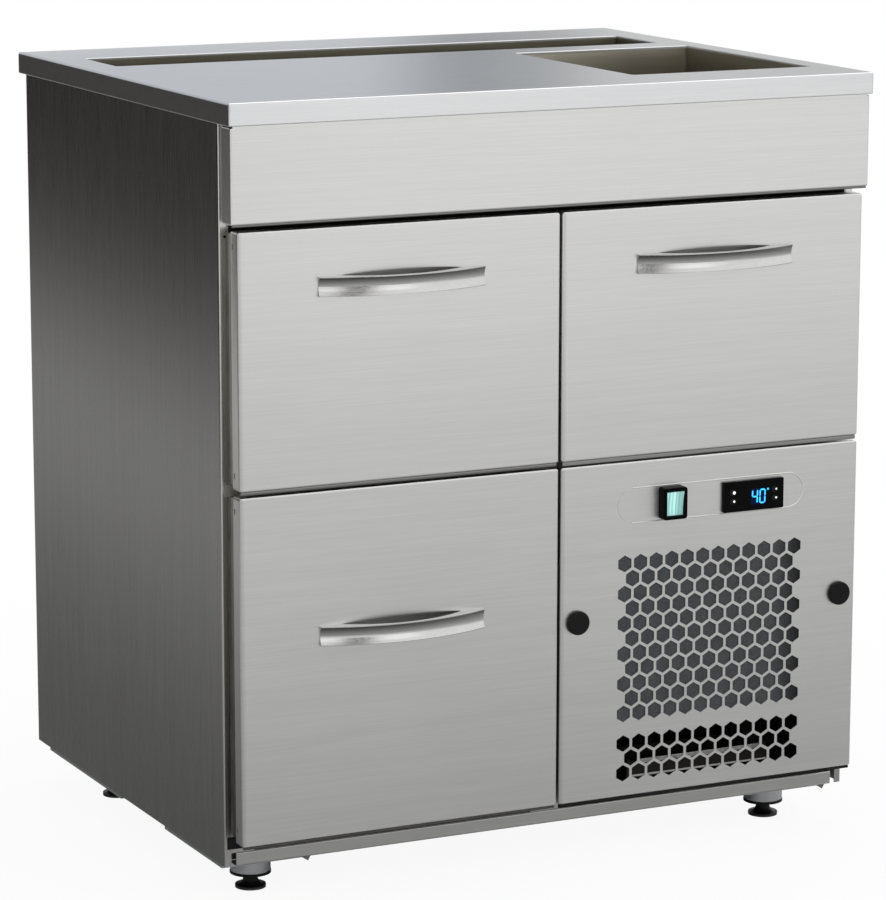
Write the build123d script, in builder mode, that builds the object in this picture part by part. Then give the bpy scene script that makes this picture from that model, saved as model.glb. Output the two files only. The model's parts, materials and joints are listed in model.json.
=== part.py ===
from build123d import *
import os

os.makedirs("parts", exist_ok=True)

# All sizes are in millimetres. X runs to the right, Y to the back, Z up.
# The origin is on the floor, under the middle of the counter, handles included.

# Overall size
top_width = 800.0
top_depth = 650.0
counter_height = 900.0

# Worktop sheet and its turned-down edges
worktop_edge = 25.0
worktop_sheet = 1.5
worktop_bend = 2.5
skirt_round = 1.2
lip_depth = 3.0
lip_bend = 1.2

# Rear ingredient channel and side well, measured inside
channel_side_margin = 43.0
channel_width = 107.0
channel_depth = 100.0
channel_back_margin = 110.0
well_width = 236.0
well_depth = 100.0
well_right_margin = 29.0
well_front_margin = 89.0
well_channel_gap = 48.0
basin_sheet = 1.2
basin_corner = 4.0
basin_floor_bend = 8.0

# Body shell
body_inset = 2.5
body_front_setback = 37.0
body_back_setback = 19.0
body_sheet = 1.2
sheet_bend = 2.0
side_low = 51.0
side_front_flange = 8.5
side_back_flange = 18.5

# Apron under the worktop
apron_inset = 3.0
apron_height = 106.2
apron_top_gap = 1.4
apron_sheet = 1.2
apron_return = 24.0
apron_step = 5.0

# Drawer fronts and machine panel
front_setback = 3.5
front_thickness = 18.0
front_side_margin = 10.25
front_corner = 3.0
front_bend = 2.0
column_gap = 3.2
apron_gap = 7.8
top_row_height = 282.6
row_gap = 6.4
front_floor_gap = 14.6
front_plug_depth = 13.5
front_plug_clearance = 6.0
edge_slot_length = 7.0
edge_slot_width = 3.0
edge_slot_depth = 2.5
edge_slot_inset = 16.5

# Insulated walls
side_wall = 36.0
partition_width = 36.0
back_wall = 44.0
basin_room = 11.3
seat_overlap = 17.5
cross_rail_depth = 40.0
air_slot_length = 90.0
air_slot_width = 40.0

# Door seals
gasket_inset = 4.0
gasket_width = 12.0
gasket_groove = 3.0

# Bow handles
handle_width = 200.0
handle_height = 21.5
handle_bow = 25.0
handle_end = 4.0
handle_wall = 4.5
handle_floor = 2.5
handle_pad = 27.0
handle_lip = 0.9
handle_cove_depth = 2.8
handle_pocket_depth = 10.0
handle_pocket_rise = 3.0
top_handle_drop = 53.0
bottom_handle_drop = 151.0

# Telescopic runners
runner_back_gap = 4.0
runner_height = 45.0
runner_thickness = 12.7
runner_sheet = 1.5
runner_play = 0.5
runner_bin_gap = 2.7
runner_front_gap = 2.0

# Drawer bins
bin_back_gap = 5.0
bin_sheet = 1.2
bin_corner = 5.0
bin_rim = 8.0
bin_floor_gap = 12.0
bin_head_room = 46.0
runner_above_bin_floor = 55.0

# Base
rail_side_inset = 17.0
rail_height = 16.0
rail_depth = 20.0
rail_drop = 1.0
lug_width = 15.0
lug_height = 7.0
lug_thickness = 3.0
lug_offset = 38.0
base_sheet = 1.5
foot_side_inset = 65.0
front_foot_inset = 111.0
rear_foot_inset = 125.0
bracket_side_inset = 12.0
bracket_width = 102.0
front_bracket_length = 170.0
rear_bracket_length = 240.0
bracket_front_gap = 30.0
bracket_back_gap = 16.0
bracket_low = 40.0
bracket_sheet = 2.0
collar_radius = 23.0
collar_low = 20.5
foot_base_radius = 17.5
foot_base_height = 3.5
foot_neck_radius = 8.0
foot_neck_height = 12.0
foot_flange_radius = 23.5
foot_flange_thickness = 3.0
foot_flange_gap = 0.3
stud_radius = 6.0
stud_end = 58.0
running_clearance = 0.08

# Machine panel details
panel_sheet = 1.2
hex_pitch = 20.3
hex_web = 3.3
grille_columns = 12
grille_drop = 117.8
grille_foot = 26.0
upper_rows = 11
control_drop = 50.8
control_spacing = 107.2
fascia_length = 243.0
fascia_height = 40.5
fascia_rise = 0.4
knob_inset = 21.8
knob_drop = 180.0
knob_radius = 13.75
knob_height = 5.0
knob_edge = 1.5
knob_shank_radius = 3.0
knob_shank_end = 24.0
knob_gap = 0.3
panel_bracket_height = 60.0
panel_bracket_sheet = 2.0
panel_bracket_leg = 34.0
panel_bracket_reach = 15.0
panel_bracket_setback = 4.0
bush_radius = 5.0
bush_length = 12.0
filter_thickness = 7.0
filter_margin = 9.0

# Thermostat and switch
thermostat_width = 79.5
thermostat_height = 35.5
thermostat_proud = 4.0
thermostat_corner = 1.5
thermostat_drop = 1.2
thermostat_body_width = 71.0
thermostat_body_height = 29.0
thermostat_body_depth = 24.0
key_width = 9.0
key_height = 6.5
key_spread = 55.7
key_rise = 10.2
key_depth = 3.0
key_proud = 0.9
key_play = 0.15
switch_width = 30.8
switch_height = 37.0
switch_proud = 13.0
switch_corner = 3.5
switch_well_depth = 10.5
switch_body_width = 22.0
switch_body_height = 30.0
switch_body_depth = 22.0
rocker_width = 22.0
rocker_height = 27.5
rocker_thickness = 6.0
rocker_swell = 1.0
rocker_setback = 2.0
rocker_tilt = 7.0
rocker_play = 0.35
rocker_pin_radius = 1.0

# Condensing unit in the machine bay
condenser_height = 320.0
condenser_depth = 44.0
condenser_setback = 83.0
condenser_left_gap = 40.0
condenser_tube_gap = 20.0
condenser_lift = 14.0
fin_pitch = 14.0
fin_slot = 10.0
fin_slot_depth = 16.0
end_plate = 1.5
shroud_sheet = 1.5
condenser_fan_radius = 118.0
fan_ring_gap = 8.0
fan_ring_sheet = 2.0
condenser_ring_length = 56.0
motor_radius = 36.0
motor_length = 50.0
motor_arm_width = 12.0
motor_arm_thickness = 4.0
fan_shaft_radius = 4.0
hub_radius = 30.0
hub_length = 30.0
blade_count = 5
blade_sheet = 2.0
compressor_shift = 15.0
compressor_back_gap = 230.0
compressor_radius = 78.0
compressor_height = 205.0
compressor_dome = 48.0
compressor_foot_round = 14.0
compressor_seam = 95.0
compressor_seam_width = 4.0
compressor_lift = 12.0
compressor_foot_width = 190.0
compressor_foot_depth = 120.0
compressor_plate = 4.0
grommet_radius = 12.0
stub_radius = 5.0
stub_rise = 14.0
stub_spread = 45.0
terminal_width = 46.0
terminal_depth = 30.0
terminal_height = 60.0
tray_width = 170.0
tray_shift = 17.0
tray_depth = 50.0
tray_high = 104.0
tray_lift = 16.0
tray_rim = 18.0
tray_skid = 14.0
tray_sheet = 1.0
tray_setback = 30.0
tube_radius = 3.5
tube_hole_radius = 6.0
liquid_tube_gap = 16.0
tube_spacing = 14.0
tube_bend = 22.0
tube_small_bend = 9.0

# Evaporator at the back of the upper right compartment
evaporator_height = 170.0
evaporator_depth = 46.0
evaporator_back_gap = 4.0
evaporator_left_gap = 42.0
evaporator_tube_gap = 30.0
evaporator_lift = 45.0
cover_depth = 84.0
cover_height = 222.0
cover_left_gap = 12.0
cover_right_gap = 4.5
cover_sheet = 1.2
evaporator_fan_radius = 60.0
evaporator_ring_length = 30.0
evaporator_motor_radius = 24.0
evaporator_motor_length = 13.0
evaporator_hub_radius = 20.0
evaporator_hub_length = 14.0

# Back panel
louvre_length = 70.0
louvre_height = 7.0
louvre_pitch = 18.0
louvre_rows = 9
louvre_columns = 3
louvre_low = 190.0
gland_radius = 10.0
gland_nut_radius = 14.0
gland_nut_length = 8.0
gland_tail = 16.0
gland_bore = 4.0
gland_side_inset = 70.0
gland_z = 105.0

# Heights worked out from the sizes above
worktop_under = counter_height - worktop_sheet
skirt_low = counter_height - worktop_edge
apron_low = skirt_low - apron_height
apron_high = skirt_low - apron_top_gap
top_row_high = apron_low - apron_gap
top_row_low = top_row_high - top_row_height
bottom_row_high = top_row_low - row_gap
rail_low = side_low - rail_drop
base_high = rail_low + rail_height
base_low = side_low + body_sheet
bottom_row_low = base_high + front_floor_gap
bottom_row_height = bottom_row_high - bottom_row_low
ceiling_low = top_row_high - seat_overlap
ceiling_high = counter_height - max(channel_depth, well_depth) - basin_sheet - basin_room
top_open_low = top_row_low + seat_overlap
bottom_open_high = bottom_row_high - seat_overlap
floor_high = bottom_row_low + seat_overlap

# Depth positions: the handles stand out past the worktop, which puts its middle behind the origin
worktop_y = (handle_bow - front_setback) / 2
top_front_y = worktop_y - top_depth / 2
top_back_y = worktop_y + top_depth / 2
front_y = top_front_y + front_setback
front_back_y = front_y + front_thickness
body_front_y = top_front_y + body_front_setback
body_back_y = top_back_y - body_back_setback
liner_back_y = body_back_y - back_wall
back_panel_y = body_back_y - 2 * body_sheet
flange_back_y = body_front_y + body_sheet
cover_front_y = liner_back_y - cover_depth
runner_front_y = body_front_y + runner_front_gap
runner_end_y = cover_front_y - runner_back_gap
bin_front_y = front_back_y + front_plug_depth
bin_length = cover_front_y - bin_back_gap - bin_rim - bin_front_y
front_foot_y = top_front_y + front_foot_inset
rear_foot_y = top_back_y - rear_foot_inset

# Width positions
foot_x = top_width / 2 - foot_side_inset
bracket_outer_x = top_width / 2 - bracket_side_inset
rail_half_length = top_width / 2 - rail_side_inset
body_half = top_width / 2 - body_inset
skin_x = body_half - body_sheet
liner_x = body_half - side_wall
partition_half = partition_width / 2
front_half = top_width / 2 - front_side_margin
front_width = front_half - column_gap / 2
front_centre = (front_half + column_gap / 2) / 2
column_width = liner_x - partition_half
column_centre = (liner_x + partition_half) / 2
bin_width = column_width - 2 * runner_thickness

# The outer face of the fronts, with local x along X and local y along Z
front_plane = Plane.XZ.offset(-front_y)


def save(piece, name):
    """Label a finished piece and write its STEP file."""
    piece.part.label = name
    export_step(piece.part, f"parts/{name}.step")


def slab(x_range, y_range, z_range):
    """A plain rectangular panel between the given limits."""
    with BuildPart() as piece:
        with BuildSketch(Plane.XY.offset(z_range[0])):
            with Locations((sum(x_range) / 2, sum(y_range) / 2)):
                Rectangle(x_range[1] - x_range[0], y_range[1] - y_range[0])
        extrude(amount=z_range[1] - z_range[0])
    return piece


# Worktop: one sheet with a turned-down skirt, and two cut-outs with turned-down lips
channel_length = top_width - 2 * channel_side_margin
channel_front_y = top_back_y - channel_back_margin - channel_width
channel_y = channel_front_y + channel_width / 2
well_x = top_width / 2 - well_right_margin - well_width / 2
well_front_y = top_front_y + well_front_margin
well_length = channel_front_y - well_channel_gap - well_front_y
well_y = well_front_y + well_length / 2
cutouts = [
    (0, channel_y, channel_length, channel_width),
    (well_x, well_y, well_width, well_length),
]
with BuildPart() as worktop:
    with BuildSketch(Plane.XY.offset(counter_height)):
        with Locations((0, worktop_y)):
            Rectangle(top_width, top_depth)
    extrude(amount=-worktop_edge)
    fillet(worktop.edges().filter_by(Axis.Z), worktop_bend)
    fillet(worktop.faces().sort_by(Axis.Z)[-1].edges(), worktop_bend)
    offset(amount=-worktop_sheet, openings=worktop.faces().sort_by(Axis.Z)[0])
    fillet(worktop.faces().sort_by(Axis.Z)[0].outer_wire().edges(), skirt_round)
    with BuildSketch(Plane.XY.offset(counter_height)):
        for x, y, length, width in cutouts:
            with Locations((x, y)):
                RectangleRounded(
                    length + 2 * basin_sheet, width + 2 * basin_sheet, basin_corner + basin_sheet
                )
    extrude(amount=-lip_depth)
    with BuildSketch(Plane.XY.offset(counter_height)):
        for x, y, length, width in cutouts:
            with Locations((x, y)):
                RectangleRounded(length, width, basin_corner)
    extrude(amount=-lip_depth, mode=Mode.SUBTRACT)
    fillet(worktop.faces().sort_by(Axis.Z)[-1].inner_wires().edges(), lip_bend)
save(worktop, "worktop")


def basin(x, y, length, width, depth):
    """A welded basin that hangs from the lip of its cut-out."""
    with BuildPart() as shell:
        with BuildSketch(Plane.XY.offset(counter_height - lip_depth)):
            with Locations((x, y)):
                RectangleRounded(
                    length + 2 * basin_sheet, width + 2 * basin_sheet, basin_corner + basin_sheet
                )
        extrude(amount=-(depth - lip_depth + basin_sheet))
        fillet(shell.faces().sort_by(Axis.Z)[0].edges(), basin_floor_bend)
        offset(amount=-basin_sheet, openings=shell.faces().sort_by(Axis.Z)[-1])
    return shell


save(basin(0, channel_y, channel_length, channel_width, channel_depth), "rear_channel")
save(basin(well_x, well_y, well_width, well_length, well_depth), "side_well")

# Apron: a folded cover under the worktop, stepped in at its ends where it meets the side flanges
apron_width = top_width - 2 * apron_inset
apron_back_y = front_y + apron_return
with BuildPart() as front_apron:
    with BuildSketch(Plane.XZ.offset(-apron_back_y)):
        with Locations((0, (apron_low + apron_high) / 2)):
            Rectangle(apron_width, apron_high - apron_low)
    extrude(amount=apron_return)
    fillet(front_apron.edges().filter_by(Axis.Y), sheet_bend)
    fillet(front_apron.faces().sort_by(Axis.Y)[0].edges(), sheet_bend)
    with BuildSketch(Plane.XZ.offset(-body_front_y)):
        with Locations((0, (apron_low + apron_high) / 2)):
            Rectangle(apron_width - 2 * apron_step, apron_high - apron_low)
    extrude(amount=body_front_y - apron_back_y)
    offset(amount=-apron_sheet, openings=front_apron.faces().sort_by(Axis.Y)[-1])
save(front_apron, "front_apron")


def side_panel(side):
    """A folded outer side: side is -1 on the left and 1 on the right."""
    plan = [
        (side * (body_half - side_front_flange), body_front_y),
        (side * body_half, body_front_y),
        (side * body_half, body_back_y),
        (side * (body_half - side_back_flange), body_back_y),
    ]
    flange_width = skin_x - bracket_outer_x
    flange_front_y = body_front_y + rail_depth
    flange_end_y = body_back_y - body_sheet
    with BuildPart() as panel:
        with BuildSketch(Plane.XY.offset(side_low)):
            with BuildLine():
                FilletPolyline(*plan, radius=sheet_bend)
                offset(amount=body_sheet, side=Side.RIGHT if side < 0 else Side.LEFT)
            make_face()
        extrude(amount=worktop_under - side_low)
        with BuildSketch(Plane.XY.offset(side_low)):
            with Locations((side * (skin_x - flange_width / 2), (flange_front_y + flange_end_y) / 2)):
                Rectangle(flange_width, flange_end_y - flange_front_y)
        extrude(amount=body_sheet)
    return panel


save(side_panel(-1), "left_side_panel")
save(side_panel(1), "right_side_panel")

# Back panel, with louvre slots for the machine bay and a hole for the mains gland
bay_centre = (partition_half + skin_x) / 2
gland_x = top_width / 2 - gland_side_inset
with BuildPart() as back_panel:
    with BuildSketch(Plane.XZ.offset(-back_panel_y)):
        with Locations((0, (base_low + worktop_under) / 2)):
            Rectangle(2 * (skin_x - sheet_bend), worktop_under - base_low)
        with Locations((bay_centre, louvre_low + (louvre_rows - 1) * louvre_pitch / 2)):
            with GridLocations(louvre_length + louvre_pitch, louvre_pitch, louvre_columns, louvre_rows):
                Rectangle(louvre_length, louvre_height, mode=Mode.SUBTRACT)
        with Locations((gland_x, gland_z)):
            Circle(gland_radius, mode=Mode.SUBTRACT)
    extrude(amount=-body_sheet)
save(back_panel, "back_panel")

# Mains gland: a bored bush through the back panel with a nut on each side
with BuildPart() as mains_gland:
    with BuildSketch(Plane.XZ.offset(-(back_panel_y + body_sheet))):
        with Locations((gland_x, gland_z)):
            RegularPolygon(gland_nut_radius, 6)
    extrude(amount=-gland_nut_length)
    with BuildSketch(Plane.XZ.offset(-(back_panel_y + body_sheet + gland_nut_length))):
        with Locations((gland_x, gland_z)):
            Circle(gland_radius)
    extrude(amount=-(gland_tail - gland_nut_length), taper=12)
    with BuildSketch(Plane.XZ.offset(-back_panel_y)):
        with Locations((gland_x, gland_z)):
            Circle(gland_radius)
    extrude(amount=-body_sheet)
    with BuildSketch(Plane.XZ.offset(-back_panel_y)):
        with Locations((gland_x, gland_z)):
            RegularPolygon(gland_nut_radius, 6)
    extrude(amount=gland_nut_length)
    with BuildSketch(Plane.XZ.offset(-back_panel_y)):
        with Locations((gland_x, gland_z)):
            Circle(gland_bore)
    extrude(amount=gland_tail + gland_nut_length, both=True, mode=Mode.SUBTRACT)
save(mains_gland, "mains_gland")


def wall_panel(side, low):
    """A foamed side wall with a notch for the flange of the outer side panel."""
    flange_x = body_half - side_front_flange
    plan = [
        (side * skin_x, flange_back_y + sheet_bend),
        (side * (skin_x - sheet_bend), flange_back_y),
        (side * flange_x, flange_back_y),
        (side * flange_x, body_front_y),
        (side * liner_x, body_front_y),
        (side * liner_x, liner_back_y),
        (side * skin_x, liner_back_y),
    ]
    with BuildPart() as wall:
        with BuildSketch(Plane.XY.offset(low)):
            with BuildLine():
                Polyline(*plan, close=True)
            make_face()
        extrude(amount=ceiling_high - low)
    return wall


save(wall_panel(-1, base_high), "insulated_left_wall")
save(wall_panel(1, bottom_open_high), "insulated_right_wall")

# Back wall: behind the left column and the upper right compartment only
with BuildPart() as insulated_back_wall:
    with BuildSketch(Plane.XZ.offset(-back_panel_y)):
        with BuildLine():
            Polyline(
                (-skin_x, base_high),
                (partition_half, base_high),
                (partition_half, bottom_open_high),
                (skin_x, bottom_open_high),
                (skin_x, ceiling_high),
                (-skin_x, ceiling_high),
                close=True,
            )
        make_face()
    extrude(amount=back_panel_y - liner_back_y)
save(insulated_back_wall, "insulated_back_wall")

body_depth_range = (body_front_y, liner_back_y)
left_column = (-liner_x, -partition_half)
right_column = (partition_half, liner_x)
save(slab((-liner_x, liner_x), body_depth_range, (ceiling_low, ceiling_high)), "insulated_ceiling")
save(slab(left_column, body_depth_range, (base_high, floor_high)), "insulated_floor")
cross_rail_range = (body_front_y, body_front_y + cross_rail_depth)
save(slab(left_column, cross_rail_range, (bottom_open_high, top_open_low)), "left_cross_rail")

# Partition between the columns, with slots that let cold air through to the left
with BuildPart() as centre_partition:
    with BuildSketch(Plane.YZ.offset(-partition_half)):
        with Locations(((body_front_y + liner_back_y) / 2, (base_high + ceiling_low) / 2)):
            Rectangle(liner_back_y - body_front_y, ceiling_low - base_high)
        for height in (top_open_low + air_slot_length, ceiling_low - air_slot_length):
            with Locations((liner_back_y - air_slot_length, height)):
                SlotOverall(air_slot_length, air_slot_width, mode=Mode.SUBTRACT)
    extrude(amount=partition_width)
save(centre_partition, "centre_partition")

# Places that the cold and hot sides share: the two tubes that cross the roof of the bay
liquid_tube_x = liner_x - liquid_tube_gap
suction_tube_x = liquid_tube_x - tube_spacing
evaporator_right = suction_tube_x - evaporator_tube_gap - end_plate
evaporator_y = liner_back_y - evaporator_back_gap - evaporator_depth / 2
evaporator_low = top_open_low + evaporator_lift
liquid_tube_y = evaporator_y + evaporator_depth / 4
suction_tube_y = evaporator_y - evaporator_depth / 4

# Roof of the machine bay
with BuildPart() as machine_bay_roof:
    with BuildSketch(Plane.XY.offset(bottom_open_high)):
        with Locations((column_centre, (body_front_y + liner_back_y) / 2)):
            Rectangle(column_width, liner_back_y - body_front_y)
        with Locations((liquid_tube_x, liquid_tube_y), (suction_tube_x, suction_tube_y)):
            Circle(tube_hole_radius, mode=Mode.SUBTRACT)
    extrude(amount=top_open_low - bottom_open_high)
save(machine_bay_roof, "machine_bay_roof")

# Base rail across the front, with two lugs hooked under it beside the front feet
with BuildPart() as base_rail:
    with BuildSketch(Plane.YZ.offset(-rail_half_length)):
        with BuildLine():
            FilletPolyline(
                (body_front_y + rail_depth, base_high),
                (body_front_y, base_high),
                (body_front_y, rail_low),
                (body_front_y + rail_depth, rail_low),
                radius=sheet_bend,
            )
            offset(amount=body_sheet, side=Side.LEFT)
        make_face()
    extrude(amount=2 * rail_half_length)
    with BuildSketch(Plane.XZ.offset(-(body_front_y + rail_depth / 2))):
        for x in (-foot_x + lug_offset, foot_x + lug_offset):
            with BuildLine():
                Polyline(
                    (x - lug_width / 2, rail_low),
                    (x + lug_width / 4, rail_low - lug_height),
                    (x + lug_width / 2, rail_low),
                    close=True,
                )
            make_face()
    extrude(amount=lug_thickness)
save(base_rail, "base_rail")

# Base pan: an upturned tray that carries the floor and the condensing unit
with BuildPart() as base_pan:
    with BuildSketch(Plane.XY.offset(base_low)):
        with Locations((0, (body_front_y + rail_depth + back_panel_y) / 2)):
            Rectangle(2 * skin_x, back_panel_y - body_front_y - rail_depth)
    extrude(amount=base_high - base_low)
    offset(amount=-base_sheet, openings=base_pan.faces().sort_by(Axis.Z)[0])
save(base_pan, "base_pan")

# Foot brackets: an open-topped box under the base pan, with a bored collar for the foot
bracket_high = base_high - base_sheet
front_bracket = (body_front_y + bracket_front_gap, front_bracket_length, front_foot_y)
rear_bracket = (body_back_y - bracket_back_gap - rear_bracket_length, rear_bracket_length, rear_foot_y)
bracket_centre_x = bracket_outer_x - bracket_width / 2


def foot_bracket(side, start_y, length, foot_y):
    """One bracket: start_y is its front edge and foot_y the middle of its collar."""
    with BuildPart() as bracket:
        with BuildSketch(Plane.XY.offset(bracket_low)):
            with Locations((side * bracket_centre_x, start_y + length / 2)):
                Rectangle(bracket_width, length)
        extrude(amount=bracket_high - bracket_low)
        offset(amount=-bracket_sheet, openings=bracket.faces().sort_by(Axis.Z)[-1])
        with BuildSketch(Plane.XY.offset(collar_low)):
            with Locations((side * foot_x, foot_y)):
                Circle(collar_radius)
        extrude(amount=bracket_low - collar_low)
        with BuildSketch(Plane.XY.offset(collar_low)):
            with Locations((side * foot_x, foot_y)):
                Circle(stud_radius + running_clearance)
        extrude(amount=bracket_low + bracket_sheet - collar_low, mode=Mode.SUBTRACT)
    return bracket


with BuildPart() as foot_brackets:
    for start_y, length, foot_y in (front_bracket, rear_bracket):
        for side in (-1, 1):
            add(foot_bracket(side, start_y, length, foot_y).part)
save(foot_brackets, "foot_brackets")


def levelling_foot(x, y):
    """A turned foot: flared base, neck, flange under the collar and threaded stud."""
    flange_high = collar_low - foot_flange_gap
    flange_low = flange_high - foot_flange_thickness
    flare_middle = (
        (foot_base_radius + 3 * foot_neck_radius) / 4,
        (foot_base_height * 2 + foot_neck_height) / 3,
    )
    with BuildPart() as foot:
        with BuildSketch(Plane.XZ.offset(-y)):
            with BuildLine():
                Polyline((x, stud_end), (x, 0), (x + foot_base_radius, 0))
                Line((x + foot_base_radius, 0), (x + foot_base_radius, foot_base_height))
                ThreePointArc(
                    (x + foot_base_radius, foot_base_height),
                    (x + flare_middle[0], flare_middle[1]),
                    (x + foot_neck_radius, foot_neck_height),
                )
                Polyline(
                    (x + foot_neck_radius, foot_neck_height),
                    (x + foot_neck_radius, flange_low),
                    (x + foot_flange_radius, flange_low),
                    (x + foot_flange_radius, flange_high),
                    (x + stud_radius, flange_high),
                    (x + stud_radius, stud_end),
                    (x, stud_end),
                )
            make_face()
        revolve(axis=Axis((x, y, 0), (0, 0, 1)))
    return foot


feet = {
    "front_left_foot": (-foot_x, front_foot_y),
    "front_right_foot": (foot_x, front_foot_y),
    "rear_left_foot": (-foot_x, rear_foot_y),
    "rear_right_foot": (foot_x, rear_foot_y),
}
for name, place in feet.items():
    save(levelling_foot(*place), name)


# Telescopic runner sections: u runs from the wall into the compartment, v up from the runner's middle
def runner_channel(wall_x, inward, z, near, far, half_height, open_side, y_low, y_high):
    """A C-shaped member between near and far from the wall, open towards or away from it."""
    web = near if open_side > 0 else far
    lip = far if open_side > 0 else near
    section = [
        (wall_x + inward * lip, z + half_height),
        (wall_x + inward * web, z + half_height),
        (wall_x + inward * web, z - half_height),
        (wall_x + inward * lip, z - half_height),
    ]
    inside_left = inward * open_side > 0
    with BuildPart() as member:
        with BuildSketch(Plane.XZ.offset(-y_high)):
            with BuildLine():
                Polyline(*section)
                offset(amount=runner_sheet, side=Side.LEFT if inside_left else Side.RIGHT)
            make_face()
        extrude(amount=y_high - y_low)
    return member


runner_lip = runner_thickness - runner_bin_gap
fixed_half = runner_height / 2
middle_half = fixed_half - runner_sheet - runner_play
inner_half = middle_half - runner_sheet - runner_play
middle_near = runner_sheet + runner_play
inner_near = middle_near + runner_sheet + runner_play

# The three drawers: column side, front's lower edge, front's height, handle drop, opening's low and high
drawers = {
    "top_left": (-1, top_row_low, top_row_height, top_handle_drop, top_open_low, ceiling_low),
    "top_right": (1, top_row_low, top_row_height, top_handle_drop, top_open_low, ceiling_low),
    "bottom_left": (-1, bottom_row_low, bottom_row_height, bottom_handle_drop, floor_high, bottom_open_high),
}


def runner_walls(side):
    """Both walls of a column, each with the direction that points into the column."""
    return ((side * partition_half, side), (side * liner_x, -side))


def runner_z(open_low):
    return open_low + bin_floor_gap + runner_above_bin_floor


with BuildPart() as fixed_runners:
    for side, _, _, _, open_low, _ in drawers.values():
        for wall_x, inward in runner_walls(side):
            member = runner_channel(
                wall_x, inward, runner_z(open_low), 0, runner_lip, fixed_half, 1, runner_front_y, runner_end_y
            )
            add(member.part)
save(fixed_runners, "fixed_runners")


def middle_runners(side, open_low):
    """The two sliding middle members of one drawer's runners."""
    with BuildPart() as pair:
        for wall_x, inward in runner_walls(side):
            member = runner_channel(
                wall_x, inward, runner_z(open_low), middle_near, runner_lip, middle_half, 1,
                runner_front_y, runner_end_y,
            )
            add(member.part)
    return pair


def drawer_bin(side, open_low, open_high):
    """A folded steel bin with a rim, carried by the inner runner members on its sides."""
    bin_low = open_low + bin_floor_gap
    bin_high = open_high - bin_head_room
    rim_front_y = bin_front_y + 2 * bin_corner
    rim_back_y = bin_front_y + bin_length + bin_rim
    x = side * column_centre
    y = bin_front_y + bin_length / 2
    with BuildPart() as piece:
        with BuildSketch(Plane.XY.offset(bin_low)):
            with Locations((x, y)):
                Rectangle(bin_width, bin_length)
        extrude(amount=bin_high - bin_low)
        fillet(piece.edges().filter_by(Axis.Z), bin_corner)
        fillet(piece.faces().sort_by(Axis.Z)[0].edges(), bin_corner)
        offset(amount=-bin_sheet, openings=piece.faces().sort_by(Axis.Z)[-1])
        with BuildSketch(Plane.XY.offset(bin_high)):
            with Locations((x, (rim_front_y + rim_back_y) / 2)):
                RectangleRounded(bin_width + 2 * bin_rim, rim_back_y - rim_front_y, bin_corner)
            with Locations((x, y)):
                RectangleRounded(
                    bin_width - bin_sheet, bin_length - bin_sheet, bin_corner - bin_sheet / 2, mode=Mode.SUBTRACT
                )
        extrude(amount=-bin_sheet)
        for wall_x, inward in runner_walls(side):
            member = runner_channel(
                wall_x, inward, runner_z(open_low), inner_near, runner_thickness, inner_half, -1,
                bin_front_y + 2 * bin_corner, bin_front_y + bin_length - 2 * bin_corner,
            )
            add(member.part)
    return piece


handle_gap_half = handle_width / 2 - handle_pad


def drawer_front(side, low, height, handle_drop, open_low, open_high):
    """A foamed front with a raised plug that enters the opening and a pocket behind the handle."""
    x = side * front_centre
    gap = front_plug_clearance
    pocket_high = low + height - handle_drop
    pocket_low = pocket_high - handle_height + handle_floor
    pocket_half = handle_gap_half
    outer_edge_x = side * front_half
    with BuildPart() as front:
        with BuildSketch(Plane.XZ.offset(-front_back_y)):
            with Locations((x, low + height / 2)):
                Rectangle(front_width, height)
        extrude(amount=front_thickness)
        fillet(front.edges().filter_by(Axis.Y), front_corner)
        fillet(front.faces().sort_by(Axis.Y)[0].edges(), front_bend)
        with BuildSketch(Plane.XZ.offset(-front_back_y)):
            with Locations((side * column_centre, (open_low + open_high) / 2)):
                RectangleRounded(column_width - 2 * gap, open_high - open_low - 2 * gap, gap)
        extrude(amount=-front_plug_depth)
        with BuildSketch(front_plane):
            with BuildLine():
                ThreePointArc(
                    (x - pocket_half, pocket_high),
                    (x, pocket_high + handle_pocket_rise),
                    (x + pocket_half, pocket_high),
                )
                Polyline(
                    (x + pocket_half, pocket_high),
                    (x + pocket_half, pocket_low),
                    (x - pocket_half, pocket_low),
                    (x - pocket_half, pocket_high),
                )
            make_face()
        extrude(amount=-handle_pocket_depth, mode=Mode.SUBTRACT)
        with BuildSketch(Plane.YZ.offset(outer_edge_x)):
            for z in (low + edge_slot_inset, low + height - edge_slot_inset):
                with Locations((front_back_y - edge_slot_width * 1.5, z)):
                    SlotOverall(edge_slot_length, edge_slot_width, rotation=90)
        extrude(amount=-side * edge_slot_depth, mode=Mode.SUBTRACT)
    return front


def drawer_gasket(side, low, height):
    """A soft seal round the back of a front, with a groove along its bellows."""
    outer_width = front_width - 2 * gasket_inset
    outer_height = height - 2 * gasket_inset
    seal_depth = body_front_y - front_back_y
    with BuildPart() as gasket:
        with BuildSketch(Plane.XZ.offset(-body_front_y)):
            with Locations((side * front_centre, low + height / 2)):
                Rectangle(outer_width, outer_height)
                Rectangle(outer_width - 2 * gasket_width, outer_height - 2 * gasket_width, mode=Mode.SUBTRACT)
        extrude(amount=seal_depth)
        with BuildSketch(Plane.XZ.offset(-(body_front_y - seal_depth / 3))):
            with Locations((side * front_centre, low + height / 2)):
                Rectangle(outer_width, outer_height)
                Rectangle(
                    outer_width - 2 * gasket_groove, outer_height - 2 * gasket_groove, mode=Mode.SUBTRACT
                )
        extrude(amount=seal_depth / 3, mode=Mode.SUBTRACT)
    return gasket


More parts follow.
